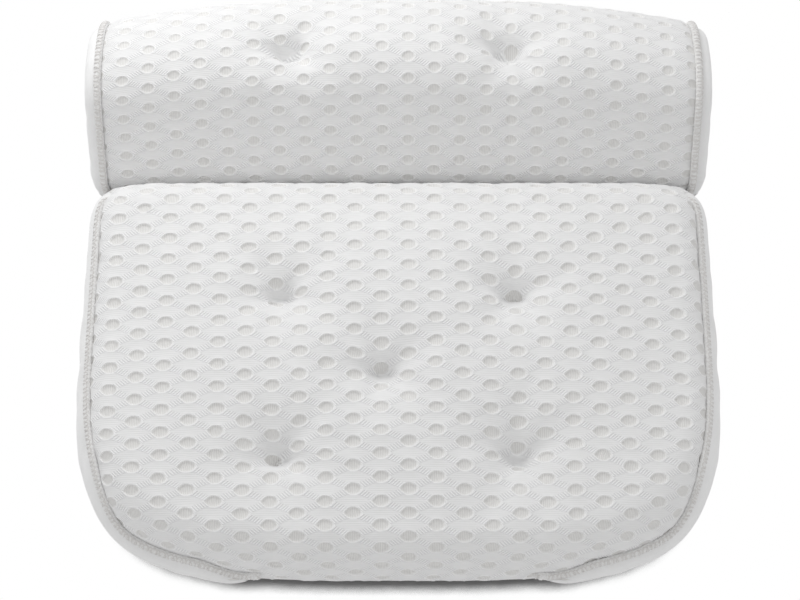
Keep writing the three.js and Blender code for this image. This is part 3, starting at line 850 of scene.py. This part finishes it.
def cell_template(half_across, half_along, depth):
    """One hole and the cloth round it, out to the six-sided cell that it shares with its neighbours:
    flat offsets from the hole's middle, heights, shares in the hole and on its rim (the share on the rim
    marks a painted highlight), and faces."""
    a, b = HOLE_COLUMNS, HOLE_ROWS
    slope = (a * a + b * b / 4) / 2
    side_x = slope / a
    top_x, top_y = (slope - b * b / 4) / a, b / 2
    corners = np.array([
        (side_x, 0), (top_x, top_y), (-top_x, top_y), (-side_x, 0), (-top_x, -top_y), (top_x, -top_y),
    ])
    border = []
    for n, pieces in enumerate(CELL_SIDE_PIECES):
        parts = np.linspace(0, 1, pieces, endpoint=False)[:, None]
        border.append(lerp(corners[n], corners[(n + 1) % len(corners)], parts))
    border = np.concatenate(border)
    turn = np.arctan2(border[:, 1] / half_along, border[:, 0] / half_across)
    point = lerp(HOLE_RIGHT_POINT, HOLE_LEFT_POINT, (1 - np.cos(turn)) / 2)
    pointed = np.sign(np.sin(turn)) * np.abs(np.sin(turn)) ** point
    outline = rows_of(half_across * np.cos(turn), half_along * pointed)
    rings = [(np.zeros((1, 2)), -depth, 1.0, 0.0)]
    for size, in_depth, in_rim, in_hole, rim_highlight in HOLE_RINGS:
        rings.append((size * outline, in_depth * depth + in_rim * HOLE_RIM, in_hole, rim_highlight))
    rings.append((lerp(rings[-1][0], border, 0.5), 0.0, 0.0, 0.0))
    rings.append((border, 0.0, 0.0, 0.0))
    offsets = np.concatenate([ring[0] for ring in rings])
    heights, in_hole, rim_highlight = (
        np.concatenate([np.full(len(ring[0]), ring[n]) for ring in rings]) for n in (1, 2, 3)
    )
    count = len(border)
    step = np.arange(count)
    onward = (step + 1) % count
    faces = rows_of(0, 1 + step, 1 + onward).tolist()
    for low in range(1, len(offsets) - count, count):
        high = low + count
        faces += rows_of(low + step, high + step, high + onward, low + onward).tolist()
    return offsets, heights, in_hole, rim_highlight, faces


def hole_places(low, high, phase):
    """Hole centres that cover a rectangle of cloth, in columns that are staggered by half a row."""
    first = np.floor((low - phase) / (HOLE_COLUMNS, HOLE_ROWS)).astype(int) - 1
    final = np.ceil((high - phase) / (HOLE_COLUMNS, HOLE_ROWS)).astype(int) + 1
    column, row = np.meshgrid(np.arange(first[0], final[0] + 1), np.arange(first[1], final[1] + 1))
    across = column * HOLE_COLUMNS
    along = (row + (column % 2) / 2) * HOLE_ROWS
    return rows_of(across.ravel(), along.ravel()) + phase


def area_between(a, b):
    return a[:, 0] * b[:, 1] - b[:, 0] * a[:, 1]


def on_cloth(surface, cloth, quads, flat):
    """Each flat point's place and normal on the padded surface, whether it lies on the panel, how far it is
    from the panel's edge, and its flat place. A point off the panel goes to the nearest place on the edge."""
    triangles = np.concatenate([quads[:, [0, 1, 2]], quads[:, [0, 2, 3]]])
    used, renumbered = np.unique(triangles, return_inverse=True)
    corners = cloth[used]
    triangles = renumbered.reshape(-1, 3)
    level = rows_of(corners[:, 0], corners[:, 1], 0)
    tree = BVHTree.FromPolygons(level.tolist(), triangles.tolist())
    edges = np.sort(triangles[:, [0, 1, 1, 2, 2, 0]].reshape(-1, 2), axis=1)
    edges, times = np.unique(edges, axis=0, return_counts=True)
    rim = np.unique(edges[times == 1])
    rim_tree = KDTree(len(rim))
    for n, corner in enumerate(level[rim]):
        rim_tree.insert(corner, n)
    rim_tree.balance()
    down = Vector((0, 0, -1))
    places = np.empty((len(flat), 2))
    hit = np.empty(len(flat), int)
    inside = np.empty(len(flat), bool)
    from_edge = np.zeros(len(flat))
    for n, (u, v) in enumerate(flat.tolist()):
        spot, _, face, _ = tree.ray_cast(Vector((u, v, 1)), down)
        inside[n] = face is not None
        if inside[n]:
            from_edge[n] = rim_tree.find((u, v, 0))[2]
        else:
            spot, _, face, _ = tree.find_nearest(Vector((u, v, 0)))
        places[n] = spot[:2]
        hit[n] = face
    a, b, c = (corners[triangles[hit, k]] for k in range(3))
    whole = area_between(b - a, c - a)
    second = area_between(places - a, c - a) / whole
    third = area_between(b - a, places - a) / whole
    shares = rows_of(1 - second - third, second, third)[:, :, None]
    owners = used[triangles[hit]]
    points = (surface.points[owners] * shares).sum(1)
    facing = unit((surface.normals[owners] * shares).sum(1))
    return points, facing, inside, from_edge, places


def mesh_panel(name, surface, panel, cloth, hole, phase, cups=()):
    """A panel of air mesh, with its holes sunk into the padded surface, cut out for the cups' eyelets."""
    quads = surface.quads[surface.panels == panel]
    owned = cloth[np.unique(quads)]
    centres = hole_places(owned.min(0), owned.max(0), np.array(phase))
    offsets, heights, in_hole, rim_highlight, cell_faces = cell_template(*hole)
    flat = (centres[:, None] + offsets[None]).reshape(-1, 2)
    first = np.arange(len(centres)) * len(offsets)
    _, keep, merged = np.unique(np.round(flat, MERGE_DIGITS), axis=0, return_index=True, return_inverse=True)
    merged = merged.ravel()
    in_cell = keep % len(offsets)
    points, facing, inside, from_edge, places = on_cloth(surface, cloth, quads, flat[keep])
    depth = heights[in_cell] * smooth(from_edge / EDGE_FADE)
    cut = np.zeros(len(points), bool)
    for cup in cups:
        away = away_from(points, cup)
        depth *= smooth((away - EYELET_RADIUS) / EDGE_FADE)
        cut |= away < EYELET_WEB_RADIUS
    faces = []
    for size in (3, 4):
        local = np.array([face for face in cell_faces if len(face) == size])
        whole = merged[(first[:, None, None] + local[None]).reshape(-1, size)]
        faces += whole[inside[whole].any(1) & ~cut[whole].any(1)].tolist()
    piece = new_object(name, points + facing * depth[:, None], faces)
    lattice = (places - np.array(phase)) / (HOLE_COLUMNS, HOLE_ROWS)
    corners = whole_numbers(piece.data.loops, "vertex_index")
    fabric = piece.data.uv_layers.new(name="fabric")
    fabric.data.foreach_set("uv", lattice[corners].astype(np.float32).ravel())
    mark(piece.data, "hole", "FLOAT", "POINT", in_hole[in_cell])
    # the rim share is the mask of the painted highlight round each hole
    mark(piece.data, "rim", "FLOAT", "POINT", rim_highlight[in_cell])
    return cleaned(piece, SHORTEST_EDGE)


def thicken(piece):
    modifier = piece.modifiers.new("thickness", "SOLIDIFY")
    modifier.thickness = CLOTH_THICKNESS
    modifier.offset = -1
    return piece


def finish_piece(piece, material, node):
    """Gives a piece its material and lets it stand for its solid, on the body that the solid rides on."""
    piece.data.polygons.foreach_set("use_smooth", [True] * len(piece.data.polygons))
    piece.data.materials.append(material)
    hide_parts(node)
    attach(piece, HOME[node])


# Materials

class Nodes:
    """Short ways to add nodes to a tree of shader nodes."""

    def __init__(self, tree):
        self.tree = tree

    def node(self, kind, **settings):
        made = self.tree.nodes.new(kind)
        for label, value in settings.items():
            setattr(made, label, value)
        return made

    def put(self, socket, value):
        if isinstance(value, bpy.types.NodeSocket):
            self.tree.links.new(value, socket)
        else:
            socket.default_value = value

    def made(self, kind, *inputs, **settings):
        """The first output of a new node, with its inputs given in their order."""
        made = self.node(kind, **settings)
        for socket, value in zip(made.inputs, inputs):
            self.put(socket, value)
        return made.outputs[0]

    def math(self, operation, *values):
        return self.made("ShaderNodeMath", *values, operation=operation)

    def ramp(self, value, low, high):
        """0 below low, 1 above high, smooth between."""
        return self.made("ShaderNodeMapRange", value, low, high, interpolation_type="SMOOTHSTEP")

    def mix(self, share, low, high):
        """A mix of two colours."""
        made = self.node("ShaderNodeMix", data_type="RGBA")
        self.put(made.inputs["Factor"], share)
        for socket, value in zip(MIX_COLOUR_INPUTS, (low, high)):
            self.put(made.inputs[socket], (*value, 1) if isinstance(value, tuple) else value)
        return made.outputs[MIX_COLOUR_OUTPUT]

    def wave(self, value, times):
        """A wave from 0 to 1 that repeats so many times for each unit."""
        turned = self.math("MULTIPLY", value, math.tau * times)
        return self.math("MULTIPLY_ADD", self.math("SINE", turned), 0.5, 0.5)

    def noise(self, scale, detail=2.0):
        made = self.node("ShaderNodeTexNoise")
        made.inputs["Scale"].default_value = scale
        made.inputs["Detail"].default_value = detail
        self.put(made.inputs["Vector"], self.node("ShaderNodeTexCoord").outputs["Object"])
        return made.outputs["Fac"]

    def attribute(self, label):
        return self.node("ShaderNodeAttribute", attribute_name=label).outputs["Fac"]

    def seen_directly(self):
        """1 for what is seen, straight or by way of gloss or clear plastic, and 0 for light on the object."""
        path = self.node("ShaderNodeLightPath").outputs
        through = self.math("MAXIMUM", path["Is Glossy Ray"], path["Is Transmission Ray"])
        return self.math("MAXIMUM", path["Is Camera Ray"], through)


class Look(Nodes):
    """A material with a principled shader, whose constants are named as its sockets are."""

    def __init__(self, name, colour, **constants):
        self.material = bpy.data.materials.new(name)
        self.material.use_nodes = True
        super().__init__(self.material.node_tree)
        self.shader = self.tree.nodes["Principled BSDF"]
        self.shader.inputs["Base Color"].default_value = (*colour, 1)
        for label, value in constants.items():
            self.shader.inputs[label.replace("_", " ")].default_value = value

    def colour(self, value):
        self.put(self.shader.inputs["Base Color"], value)

    def patches(self, noise, shade, colour, low=0.3, high=0.7):
        """A colour that wanders between two with a noise."""
        return self.mix(self.ramp(noise, low, high), shade, colour)

    def relief(self, height, depth, strength):
        made = self.node("ShaderNodeBump")
        made.inputs["Strength"].default_value = strength
        made.inputs["Distance"].default_value = depth
        self.put(made.inputs["Height"], height)
        self.put(self.shader.inputs["Normal"], made.outputs["Normal"])


def air_mesh_look():
    """Fine knitted rows between the holes, ladders of slanted yarns from hole to hole, ribs in the holes. The
    rungs and the hole rims carry a painted highlight, and the gaps between the rungs painted shade.
    """
    look = Look("air_mesh", AIR_MESH_COLOUR, Roughness=0.85, Sheen_Weight=0.2, Sheen_Roughness=0.5)
    fabric = look.node("ShaderNodeSeparateXYZ")
    look.put(fabric.inputs[0], look.node("ShaderNodeUVMap", uv_map="fabric").outputs["UV"])
    column, row = fabric.outputs[0], fabric.outputs[1]
    hole = look.attribute("hole")
    strips, rungs = [], []
    for way in (-1, 1):
        across = look.math("MULTIPLY_ADD", column, way / 2, row)
        off_line = look.math("ABSOLUTE", look.math("SUBTRACT", look.math("FRACT", across), 0.5))
        strips.append(look.ramp(off_line, 0.5 - LADDER_WIDTH, 0.5 - LADDER_WIDTH / 2))
        slant = look.math("MULTIPLY_ADD", row, -way * RUNGS_ALONG / RUNGS_ACROSS, column)
        rungs.append(look.math("MULTIPLY", strips[-1], look.wave(slant, RUNGS_ACROSS)))
    strip = look.math("MAXIMUM", *strips)
    rung = look.math("MAXIMUM", *rungs)
    rows = look.wave(row, KNIT_ROWS)
    ribs = look.wave(column, HOLE_RIBS)
    face = look.patches(look.noise(scale=45), AIR_MESH_SHADE, AIR_MESH_COLOUR)
    # darker stripes along the knit rows, in the painted gap shade
    face = look.mix(look.math("MULTIPLY", rows, KNIT_ROW_TINT), face, PAINTED_GAP_SHADE)
    # ladder rungs painted lighter as a highlight, the gaps between them darker as painted shade
    face = look.mix(strip, face, look.mix(rung, PAINTED_GAP_SHADE, PAINTED_RUNG_HIGHLIGHT))
    # a painted highlight round each hole's rim
    face = look.mix(look.attribute("rim"), face, PAINTED_RIM_HIGHLIGHT)
    look.colour(look.mix(hole, face, look.mix(ribs, HOLE_SHADE, HOLE_COLOUR)))
    cloth = look.math("MULTIPLY_ADD", rows, KNIT_ROW_HEIGHT, rung)
    height = look.math("MULTIPLY_ADD", hole, look.math("SUBTRACT", ribs, cloth), cloth)
    look.relief(height, depth=0.0005, strength=0.6)
    return look.material


def plain_look(name, colour, shade, patch_scale, grain_scale, depth, strength, detail=2.0, **constants):
    """A smooth surface whose colour wanders a little in patches, with a fine grain."""
    look = Look(name, colour, **constants)
    look.colour(look.patches(look.noise(patch_scale), shade, colour))
    look.relief(look.noise(grain_scale, detail), depth, strength)
    return look.material


def cord_look(name, colour, shade, grain_scale, curl=None):
    """Fuzzy spun yarn, with the curls of an overlocked edge in their own colour."""
    look = Look(name, colour, Roughness=0.85, Sheen_Weight=0.4, Sheen_Roughness=0.5)
    fuzz = look.noise(grain_scale, detail=3)
    yarn = look.patches(fuzz, shade, colour, low=0.35, high=0.65)
    if curl:
        yarn = look.mix(look.attribute("curl"), yarn, curl)
    look.colour(yarn)
    look.relief(fuzz, depth=0.0004, strength=0.6)
    return look.material


air_mesh = air_mesh_look()
knit = plain_look(
    "knit", KNIT_COLOUR, KNIT_SHADE, patch_scale=60, grain_scale=1800, depth=0.0003, strength=0.5, detail=1,
    Roughness=0.8, Sheen_Weight=0.3, Sheen_Roughness=0.5,
)
piping_cord = cord_look("piping_cord", PIPING_COLOUR, PIPING_SHADE, grain_scale=900, curl=CURL_COLOUR)
thread = cord_look("thread", THREAD_COLOUR, THREAD_SHADE, grain_scale=2200)
eyelet_plastic = plain_look(
    "eyelet_plastic", EYELET_COLOUR, EYELET_SHADE, patch_scale=220, grain_scale=2500, depth=0.0001,
    strength=0.3, Roughness=0.35, Coat_Weight=0.1,
)
cup_plastic = plain_look(
    "cup_plastic", CUP_COLOUR, CUP_SHADE, patch_scale=120, grain_scale=400, depth=0.0001, strength=0.2,
    Roughness=0.12, Transmission_Weight=0.85, IOR=1.5,
)
filling = cord_look("filling", FILLING_COLOUR, FILLING_SHADE, grain_scale=300)


# Cords and threads

def refined(path, times=SMOOTHING):
    """A path cut finer the way a creased edge of a smooth surface is."""
    for _ in range(times):
        kept = path.copy()
        kept[1:-1] = (path[:-2] + 6 * path[1:-1] + path[2:]) / 8
        finer = np.empty((2 * len(path) - 1, path.shape[1]))
        finer[::2] = kept
        finer[1::2] = (path[:-1] + path[1:]) / 2
        path = finer
    return path


def spaced(path, step):
    """Points at equal steps along a path, and how far along it each one is."""
    run = run_along(path)
    along = np.linspace(0, run[-1], max(2, round(run[-1] / step) + 1))
    return at_places(along, run, path), along


def closed_rings(rings, sides):
    """Vertex numbers of rings of points, with each ring's first number again at its end."""
    index = np.arange(rings * sides).reshape(rings, sides)
    return np.concatenate([index, index[:, :1]], 1)


def swept(path, radius, sides):
    """Points and faces of a closed tube, with one radius or one for each point of its rings."""
    along = unit(np.gradient(path, axis=0))
    side = np.cross(along[0], SIDEWAYS)
    first = []
    for direction in along:
        side = unit(side - direction * np.dot(side, direction))
        first.append(side)
    first = np.array(first)
    second = np.cross(along, first)
    turn = turns(sides)[:, None]
    spoke = first[:, None] * np.cos(turn) + second[:, None] * np.sin(turn)
    radius = np.broadcast_to(radius, (len(path), sides))
    points = (path[:, None] + radius[:, :, None] * spoke).reshape(-1, 3)
    index = closed_rings(len(path), sides)
    return points, [index[0, -2::-1].tolist(), *grid_quads(index).tolist(), index[-1, :-1].tolist()]


def joined(*meshes):
    points, faces, start = [], [], 0
    for some_points, some_faces in meshes:
        points.append(some_points)
        faces += [[start + corner for corner in face] for face in some_faces]
        start += len(some_points)
    return np.concatenate(points), faces


def curled_stitches(line, outward, along):
    """A thread that curls in loops along the outer side of a cord, as an overlocked edge does."""
    turn = np.arange(0, math.tau * along[-1] / CURL_PITCH, math.tau / CURL_STEPS)
    overlap = CURL_OVERLAP + CURL_EXTRA * np.cos(turn / CURLS_PER_CLUSTER) ** 2
    run = np.clip(CURL_PITCH * turn / math.tau - overlap * np.sin(turn), 0, along[-1])
    angle = CURL_SPREAD * np.cos(turn)[:, None]
    out = unit(at_places(run, along, outward))
    aside = unit(np.cross(at_places(run, along, np.gradient(line, axis=0)), out))
    path = at_places(run, along, line) + PIPING_RADIUS * (np.cos(angle) * out + np.sin(angle) * aside)
    return swept(path, CURL_RADIUS, STITCH_SIDES)


def make_piping(name, points, outward, seam, sewn_ends, node):
    """A gathered cord that lies in the groove of a seam, with an overlocked edge. An end is either sewn in
    or free, and a free end is thicker and rounded."""
    raw = refined(np.concatenate([points[seam], outward[seam]], 1))
    line, along = spaced(raw[:, :3], PIPING_STEP)
    out = at_places(along, run_along(raw[:, :3]), raw[:, 3:])
    from_ends = np.stack([along, along[-1] - along])
    near_ends = np.exp(-((from_ends / PIPING_END_LENGTH) ** 2))[:, :, None]
    sewn_in = sewn_ends[0] * near_ends[0] + sewn_ends[1] * near_ends[1]
    swell = PIPING_TIP_SWELL * (near_ends.sum(0) - sewn_in)
    line = line + lerp(PIPING_OUT, -PIPING_END_DEPTH, sewn_in) * out
    gather = np.sin(math.tau * along[:, None] / PIPING_GATHER + turns(PIPING_SIDES))
    share = np.clip(from_ends.min(0)[:, None] / PIPING_END_ROUND, PIPING_END_CLOSED, 1)
    closing = np.sqrt(share * (2 - share))
    core = swept(line, PIPING_RADIUS * closing * (1 + swell + PIPING_GATHER_SHARE * gather), PIPING_SIDES)
    cord = new_object(name, *joined(core, curled_stitches(line, out, along)))
    mark(cord.data, "curl", "FLOAT", "POINT", np.arange(len(cord.data.vertices)) >= len(core[0]))
    finish_piece(cord, piping_cord, node)


def make_tie(tie, name):
    """One thread: a coil behind, a run through the padding and three loops in the bottom of the dimple."""
    turn = np.linspace(0, math.tau * REAR_COIL_TURNS, REAR_COIL_STEPS)
    part = turn / turn[-1]
    height = lerp(tie.low - KNOT_HEIGHT + THREAD_RADIUS, tie.low, part)
    coil = around(REAR_COIL_RADIUS * (1 - REAR_COIL_SHRINK * part), turn, height)
    depths = np.linspace(tie.low + KNOT_HEIGHT, tie.high - KNOT_HEIGHT, THREAD_RUN_STEPS)
    turn = np.linspace(0, math.tau, FRONT_LOOP_STEPS)
    swing = np.sin(FRONT_LOOPS / 2 * turn)
    loops = around(FRONT_LOOP_RADIUS * np.abs(swing), turn, tie.high + THREAD_RADIUS * swing**2)
    line = np.concatenate([coil, rows_of(0, 0, depths), loops]) + (tie.x, tie.y, 0)
    line, _ = spaced(refined(line, times=1), THREAD_RADIUS)
    piece = new_object(name, *swept(line, THREAD_RADIUS, THREAD_SIDES))
    finish_piece(piece, thread, tie.node)


def make_fold_seam():
    """A twisted cord at the fold, sewn over with a slanting thread."""
    radius = (FOLD_HIGH.z - FOLD_LOW.z) / 2
    middle = (FOLD_LOW + FOLD_HIGH) / 2
    across = np.arange(FOLD_LOW.x, FOLD_HIGH.x, PIPING_STEP)
    twist = np.sin(math.tau * across[:, None] / FOLD_TWIST + FOLD_STRANDS * turns(PIPING_SIDES))
    thickness = (radius - 2 * FOLD_STITCH_RADIUS) * (1 + FOLD_TWIST_DEPTH * twist)
    core = swept(rows_of(across, middle.y, middle.z), thickness, PIPING_SIDES)
    across = np.arange(FOLD_LOW.x + radius, FOLD_HIGH.x - radius, FOLD_STITCH_PITCH / FOLD_STITCH_STEPS)
    angle = math.tau * across / FOLD_STITCH_PITCH
    reach = radius - FOLD_STITCH_RADIUS
    path = rows_of(across, middle.y + reach * np.cos(angle), middle.z + reach * np.sin(angle))
    piece = new_object("fold_cord", *joined(core, swept(path, FOLD_STITCH_RADIUS, STITCH_SIDES)))
    finish_piece(piece, thread, "fold_seam")


# Eyelets and suction cups

def rounded_profile(corners):
    """A profile through corners (radius, height, round), each corner turned as a curve."""
    places = np.array([corner[:2] for corner in corners])
    part = np.linspace(0, 1, PROFILE_CORNER_STEPS + 1)[:, None]
    outline = [places[:1]]
    for n in range(1, len(corners) - 1):
        back = places[n - 1] - places[n]
        onward = places[n + 1] - places[n]
        start = places[n] + unit(back) * min(corners[n][2], np.linalg.norm(back) / 2)
        end = places[n] + unit(onward) * min(corners[n][2], np.linalg.norm(onward) / 2)
        outline.append((1 - part) ** 2 * start + 2 * part * (1 - part) * places[n] + part**2 * end)
    return np.concatenate([*outline, places[-1:]])


def lathed(name, profile, place):
    """A profile turned about an upright axis. A profile that starts and ends on the axis closes there."""
    points = around(profile[:, :1], turns(LATHE_SIDES), profile[:, 1:]) + (place.x, place.y, 0)
    quads = grid_quads(closed_rings(len(profile), LATHE_SIDES))
    piece = new_object(name, points.reshape(-1, 3), quads)
    return cleaned(piece, MERGE_DISTANCE, merge=True)


def make_cup(cup, name):
    """A dished cup with a thin lip, a neck through the eyelet and a mushroom head inside the cushion."""
    part = np.linspace(0, 1, CUP_STEPS)
    inner = CUP_RADIUS - CUP_LIP
    hollow = rows_of(inner * part, CUP_HOLLOW * (1 - part**2))
    dome = rows_of(lerp(CUP_RADIUS, CUP_SHOULDER_RADIUS, part), lerp(CUP_EDGE, CUP_HEIGHT, part**CUP_DISH))
    head_low = CUP_HIGH.z - CUP_HEAD_HEIGHT
    rim = rounded_profile([
        (inner, 0, 0),
        (CUP_RADIUS, 0, CUP_EDGE_ROUND),
        (CUP_RADIUS, CUP_EDGE, CUP_EDGE_ROUND),
        (*dome[1], 0),
    ])
    stem = rounded_profile([
        (*dome[-2], 0),
        (CUP_SHOULDER_RADIUS, CUP_HEIGHT, CUP_SHOULDER_ROUND),
        (NECK_RADIUS, CUP_HEIGHT, NECK_ROUND),
        (NECK_RADIUS, head_low, CUP_EDGE_ROUND),
        (CUP_HEAD_RADIUS, head_low, CUP_HEAD_ROUND),
        (NECK_RADIUS, CUP_HIGH.z, NECK_ROUND),
        (0, CUP_HIGH.z, 0),
    ])
    piece = lathed(name, np.concatenate([hollow[:-1], rim[:-1], dome[1:-2], stem]), cup)
    finish_piece(piece, cup_plastic, cup.node)


def make_eyelet(cup, name):
    """A grommet: two round-edged flanges either side of the rear panel and a smooth bore."""
    node = cup.node.replace("suction_cup", "eyelet")
    low, high = (corner.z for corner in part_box(node))
    lower = [
        (EYELET_BORE, low, EYELET_EDGE_ROUND),
        (EYELET_RADIUS, low, EYELET_EDGE_ROUND),
        (EYELET_RADIUS, low + EYELET_FLANGE_THICKNESS, EYELET_EDGE_ROUND),
        (EYELET_WEB_RADIUS, low + EYELET_FLANGE_THICKNESS, EYELET_EDGE_ROUND),
    ]
    upper = [(radius, low + high - height, edge) for radius, height, edge in reversed(lower)]
    middle = (EYELET_BORE, (low + high) / 2, 0)
    profile = rounded_profile([middle, *lower, *upper, middle])
    finish_piece(lathed(name, profile, cup), eyelet_plastic, node)


# Cushions

def make_pad(name, surface, cups, node):
    """The padding just under the cloth, hollowed over the cups' heads."""
    points = surface.points - (CLOTH_THICKNESS + PAD_CLEARANCE) * surface.normals
    for cup in cups:
        roof = cup.high + PAD_CLEARANCE
        points[(away_from(points, cup) < EYELET_GRIP) & (points[:, 2] < roof), 2] = roof
    pad = new_object(name, points, surface.quads)
    finish_piece(pad, filling, node)


def make_cushion(part, form, ties, cups, hole, hole_at, press, crease, side_name, side_node):
    """A cushion with its padding, panels, pipings, ties and cups, pressed flat at the crease."""
    points, outward = padded_points(f"{part}_sewn", form, ties, cups)
    points[:, 1] = press(points[:, 1], crease)
    surface = smooth_surface(f"{part}_surface", form, points, ties)
    cover = thicken(mesh_panel(f"{part}_cover", surface, FRONT, surface.front_cloth, hole, hole_at))
    finish_piece(cover, air_mesh, f"{part}_front_cover")
    rear = mesh_panel(f"{part}_rear", surface, REAR, surface.rear_cloth, BACK_HOLE, REAR_HOLE_AT, cups)
    finish_piece(thicken(rear), air_mesh, f"{part}_rear_panel")
    make_pad(f"{part}_pad", surface, cups, f"{part}_filling")
    for n, (panel, side) in enumerate(((LEFT_SIDE, "left"), (RIGHT_SIDE, "right"))):
        band = thicken(panel_piece(f"{part}_{side_name}_{side}", surface, panel))
        finish_piece(band, knit, f"{part}_{side_node}_{side}")
        node = f"{part}_piping_{side}"
        make_piping(f"{part}_cord_{side}", points, outward, form.seams[n], form.sewn_ends[n], node)
    for tie in ties:
        make_tie(tie, tie.node.replace("tuft", "tie"))
    for cup in cups:
        make_cup(cup, cup.node.replace("suction_cup", "cup"))
        make_eyelet(cup, cup.node.replace("suction_cup", "grommet"))


make_cushion(
    "back", back_form(), BACK_TIES, BACK_CUPS, BACK_HOLE, BACK_HOLE_AT,
    press=np.minimum, crease=BACK_TOP_Y, side_name="side", side_node="gusset",
)
make_cushion(
    "head", head_form(), HEAD_TIES, HEAD_CUPS, HEAD_HOLE, HEAD_HOLE_AT,
    press=np.maximum, crease=HEAD_FOLD_Y, side_name="end", side_node="end_cap",
)
make_fold_seam()


# Stage

def make_floor():
    """White to the light that it throws back. Seen directly, it is clear to the white behind it where it is
    open to the air, and under the pillow it shows a painted shadow: a dark tone with a faint glow, where an
    occlusion test finds the pillow near. From below it is clear."""
    corners = [(x * FLOOR_HALF, y * FLOOR_HALF, 0) for x, y in ((-1, -1), (1, -1), (1, 1), (-1, 1))]
    floor = new_object("floor", corners, [range(4)])
    look = Look("floor", FLOOR_TONE, Roughness=0.8)
    seen = look.seen_directly()
    look.colour(look.mix(seen, FLOOR_TONE, FLOOR_SHADOW_TONE))
    glow = look.made("ShaderNodeEmission", WHITE, look.math("MULTIPLY", seen, SHADOW_GLOW))
    painted_shadow = look.made("ShaderNodeAddShader", look.shader.outputs[0], glow)
    # painted shadow: the occlusion test decides where the floor shows its dark tone and glow rather than
    # clear white
    open_air = look.node("ShaderNodeAmbientOcclusion", samples=SHADOW_SAMPLES)
    open_air.inputs["Distance"].default_value = SHADOW_REACH
    unshaded = look.ramp(open_air.outputs["AO"], SHADOW_DEEP, SHADOW_CLEAR)
    below = look.node("ShaderNodeNewGeometry").outputs["Backfacing"]
    clear = look.math("MAXIMUM", look.math("MULTIPLY", unshaded, seen), below)
    face = look.made("ShaderNodeMixShader", clear, painted_shadow, look.made("ShaderNodeBsdfTransparent"))
    look.put(look.tree.nodes["Material Output"].inputs["Surface"], face)
    floor.data.materials.append(look.material)


def aimed(data, place, target):
    """A lamp or camera at a place, turned to its target."""
    made = bpy.data.objects.new(data.name, data)
    made.location = place
    made.rotation_euler = (target - place).to_track_quat("-Z", "Y").to_euler()
    bpy.context.scene.collection.objects.link(made)
    return made


def make_light():
    key = bpy.data.lights.new("key", "AREA")
    key.shape = "DISK"
    key.size = KEY_SIZE
    key.energy = KEY_POWER
    aimed(key, KEY_PLACE, KEY_TARGET)


def make_camera():
    camera = bpy.data.cameras.new("camera")
    camera.sensor_width = CAMERA_SENSOR
    camera.lens = CAMERA_LENS
    away = Vector((0, -math.cos(CAMERA_ELEVATION), math.sin(CAMERA_ELEVATION)))
    bpy.context.scene.camera = aimed(camera, CAMERA_TARGET + CAMERA_DISTANCE * away, CAMERA_TARGET)


def make_world():
    """Even sky light on the object, and plain white where it is seen directly."""
    world = bpy.data.worlds.new("world")
    world.use_nodes = True
    sky = Nodes(world.node_tree)
    background = sky.tree.nodes["Background"]
    background.inputs["Color"].default_value = WHITE
    strength = sky.math("MULTIPLY_ADD", sky.seen_directly(), 1 - SKY_LIGHT, SKY_LIGHT)
    sky.put(background.inputs["Strength"], strength)
    bpy.context.scene.world = world


make_floor()
make_light()
make_camera()
make_world()
bpy.context.scene.view_settings.view_transform = "Standard"
